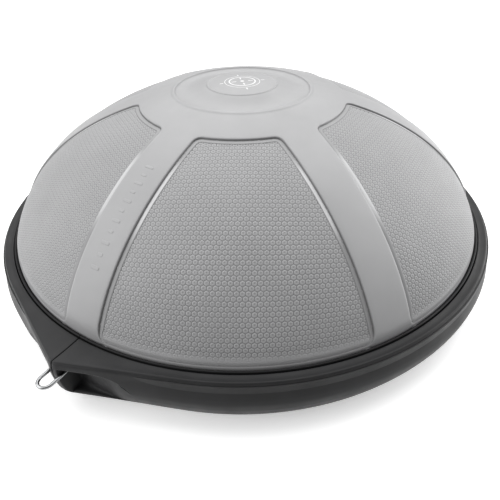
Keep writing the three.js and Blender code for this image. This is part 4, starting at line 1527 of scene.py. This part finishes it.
class MakeLinks(bpy.types.Operator):
    """Bends the two wire band links and turns their bushes"""

    bl_idname = "balance_dome.make_links"
    bl_label = "Links"

    def execute(self, context):
        fit = in_millimetres(context.scene.fitting_sizes)
        made = finishes()
        bore, outer, half = fit.wire + 0.35, 3.2, 4.6
        outline = rounded([(bore, -half, 0.3), (outer, -half, 0.3), (outer, half, 0.3), (bore, half, 0.3)], 3)
        place = Matrix.Translation((crossbar_place(fit) * MM, 0, LINK_HEIGHT * MM))
        for letter, turn in (("a", math.pi), ("b", 0.0)):
            spin = Matrix.Rotation(turn, 4, "Z")
            link, body, node = link_mesh(fit), f"link_{letter}", f"anchor_link_{letter}"
            add_piece(f"wire_link_{letter}", link, made.steel, body, [node], 0, spin)
            bush, node = along_y(turned(f"bush_{letter}", outline, full_turn(48))), f"link_bush_{letter}"
            bush.transform(place)
            add_piece(f"bush_{letter}", bush, made.zinc, "trainer", [node], 40, spin)
        return {"FINISHED"}


class MakeScrews(bpy.types.Operator):
    """Adds the clamp screws and the rim screws"""

    bl_idname = "balance_dome.make_screws"
    bl_label = "Screws"

    def execute(self, context):
        fit = in_millimetres(context.scene.fitting_sizes)
        finish = finishes().zinc
        for kind in ("clamp_screw", "rim_screw"):
            low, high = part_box(f"{kind}_01")
            shape = screw_mesh(kind, (high[2] - low[2]) / MM - SCREW_HEAD, fit)
            for k in range(SCREWS):
                node = f"{kind}_{k + 1:02d}"
                x, y, z = around(node)
                turn = Matrix.Rotation(0.7 * k, 4, "Z")
                place = Matrix.Translation((x * MM, y * MM, (z + SCREW_HEAD) * MM)) @ turn
                add_piece(f"{node}_body", shape.copy(), finish, "trainer", [node], 35, place)
        return {"FINISHED"}


class MakeFeet(bpy.types.Operator):
    """Adds the eight rubber foot pads with their tread rings"""

    bl_idname = "balance_dome.make_feet"
    bl_label = "Foot pads"

    def execute(self, context):
        finish = finishes().foot
        outline = [(0.0, 0.5), (1.5, 0.5), (1.9, 0.05)]
        for radius in (3.6, 6.0, 8.4):
            outline += [(radius - 0.5, 0.0), (radius - 0.2, 0.45), (radius + 0.2, 0.45), (radius + 0.5, 0.0)]
        outline += [(11.0, 0.0), (11.6, 0.25), (11.9, 0.6), (12.0, 1.1), (12.0, 2.6), (11.9, 2.7), (0.0, 2.7)]
        shape = turned("foot", outline, full_turn(64))
        for k in range(FEET):
            node = f"foot_pad_{k + 1:02d}"
            x, y, _ = around(node)
            place = Matrix.Translation((x * MM, y * MM, 0))
            add_piece(f"foot_{k + 1:02d}", shape.copy(), finish, "trainer", [node], 35, place)
        return {"FINISHED"}


class MakeValve(bpy.types.Operator):
    """Turns the bladder's floor, the valve seat and the valve plug"""

    bl_idname = "balance_dome.make_valve"
    bl_label = "Valve and floor"

    def execute(self, context):
        made = finishes()
        low, high = box_of("bladder_floor")
        hole = 12.3
        outline = [(hole, low[2], 0.2), (high[0], low[2], 0.4), (high[0], high[2], 0.4), (hole, high[2], 0.2)]
        mesh = turned("bladder_floor_sheet", rounded(outline, 3), full_turn(240))
        add_piece("bladder_sheet", mesh, made.floor, "trainer", ["bladder_floor"])

        low, high = box_of("valve_seat")
        bore, neck, flange, lip = 6.0, 12.0, high[0], 2
        outline = [
            (bore, low[2], 0.5),
            (flange, low[2], 0.8),
            (flange, low[2] + lip, 0.4),
            (neck, low[2] + lip, 0.2),
            (neck, high[2] - lip, 0.2),
            (flange, high[2] - lip, 0.4),
            (flange, high[2], 0.8),
            (bore, high[2], 0.5),
        ]
        mesh = turned("valve_collar", rounded(outline, 3), full_turn(72))
        add_piece("valve_collar", mesh, made.foot, "trainer", ["valve_seat"])

        low, high = box_of("valve_plug")
        start, knob, stem = low[2], 5.5, 5.4
        head = start + 8
        outline = [
            (0.0, start, 0),
            (knob, start, 1.2),
            (knob, start + 4, 0.8),
            (3.85, head, 0.4),
            (high[0], head, 0.6),
            (high[0], head + 3.2, 0.6),
            (stem, head + 3.2, 0.2),
            (stem, head + 5.4, 0.3),
            (5.1, head + 5.8, 0.3),
            (stem, head + 6.2, 0.3),
            (stem, high[2] - 1, 0.8),
            (4.4, high[2], 0.5),
            (0.0, high[2], 0),
        ]
        mesh = turned("plug", rounded(outline, 3), full_turn(64))
        add_piece("stopper", mesh, made.foot, "valve_plug", ["valve_plug"])
        return {"FINISHED"}


class FinishBase(bpy.types.Operator):
    """Gives the carried-over base plate its moulded finish"""

    bl_idname = "balance_dome.finish_base"
    bl_label = "Base plate"

    def execute(self, context):
        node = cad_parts["base_plate"]
        node.data.materials.clear()
        node.data.materials.append(finishes().base)
        return {"FINISHED"}


class MakeStage(bpy.types.Operator):
    """Sets up the pale floor, the soft lights and the camera"""

    bl_idname = "balance_dome.make_stage"
    bl_label = "Stage"

    def execute(self, context):
        scene, stage = context.scene, context.scene.dome_stage
        scene.view_settings.view_transform = "Standard"
        add_floor(scene, stage)
        add_sky(scene, stage)
        add_lights(scene, stage)
        add_camera(scene, stage)
        return {"FINISHED"}


OPERATORS = (
    MakeDome,
    MakeTiles,
    MakeMarks,
    MakeRim,
    MakeClamp,
    MakeLinks,
    MakeScrews,
    MakeFeet,
    MakeValve,
    FinishBase,
    MakeStage,
)


class BalanceDomePanel(bpy.types.Panel):
    """Lists the trainer's pieces and sizes"""

    bl_label = "Balance Dome Trainer"
    bl_idname = "VIEW3D_PT_balance_dome"
    bl_space_type = "VIEW_3D"
    bl_region_type = "UI"
    bl_category = "Balance Dome"

    def draw(self, context):
        for operator in OPERATORS:
            self.layout.operator(operator.bl_idname)
        for group in GROUPS:
            box = self.layout.box()
            settings = getattr(context.scene, group)
            for key in type(settings).__annotations__:
                box.prop(settings, key)


CLASSES = (*GROUPS.values(), *OPERATORS, BalanceDomePanel)


def register():
    for kind in CLASSES:
        bpy.utils.register_class(kind)
    for name, group in GROUPS.items():
        setattr(bpy.types.Scene, name, bpy.props.PointerProperty(type=group))


def unregister():
    for name in GROUPS:
        delattr(bpy.types.Scene, name)
    for kind in reversed(CLASSES):
        bpy.utils.unregister_class(kind)


def main():
    register()
    for operator in OPERATORS:
        category, name = operator.bl_idname.split(".")
        getattr(getattr(bpy.ops, category), name)()


if __name__ == "__main__":
    main()
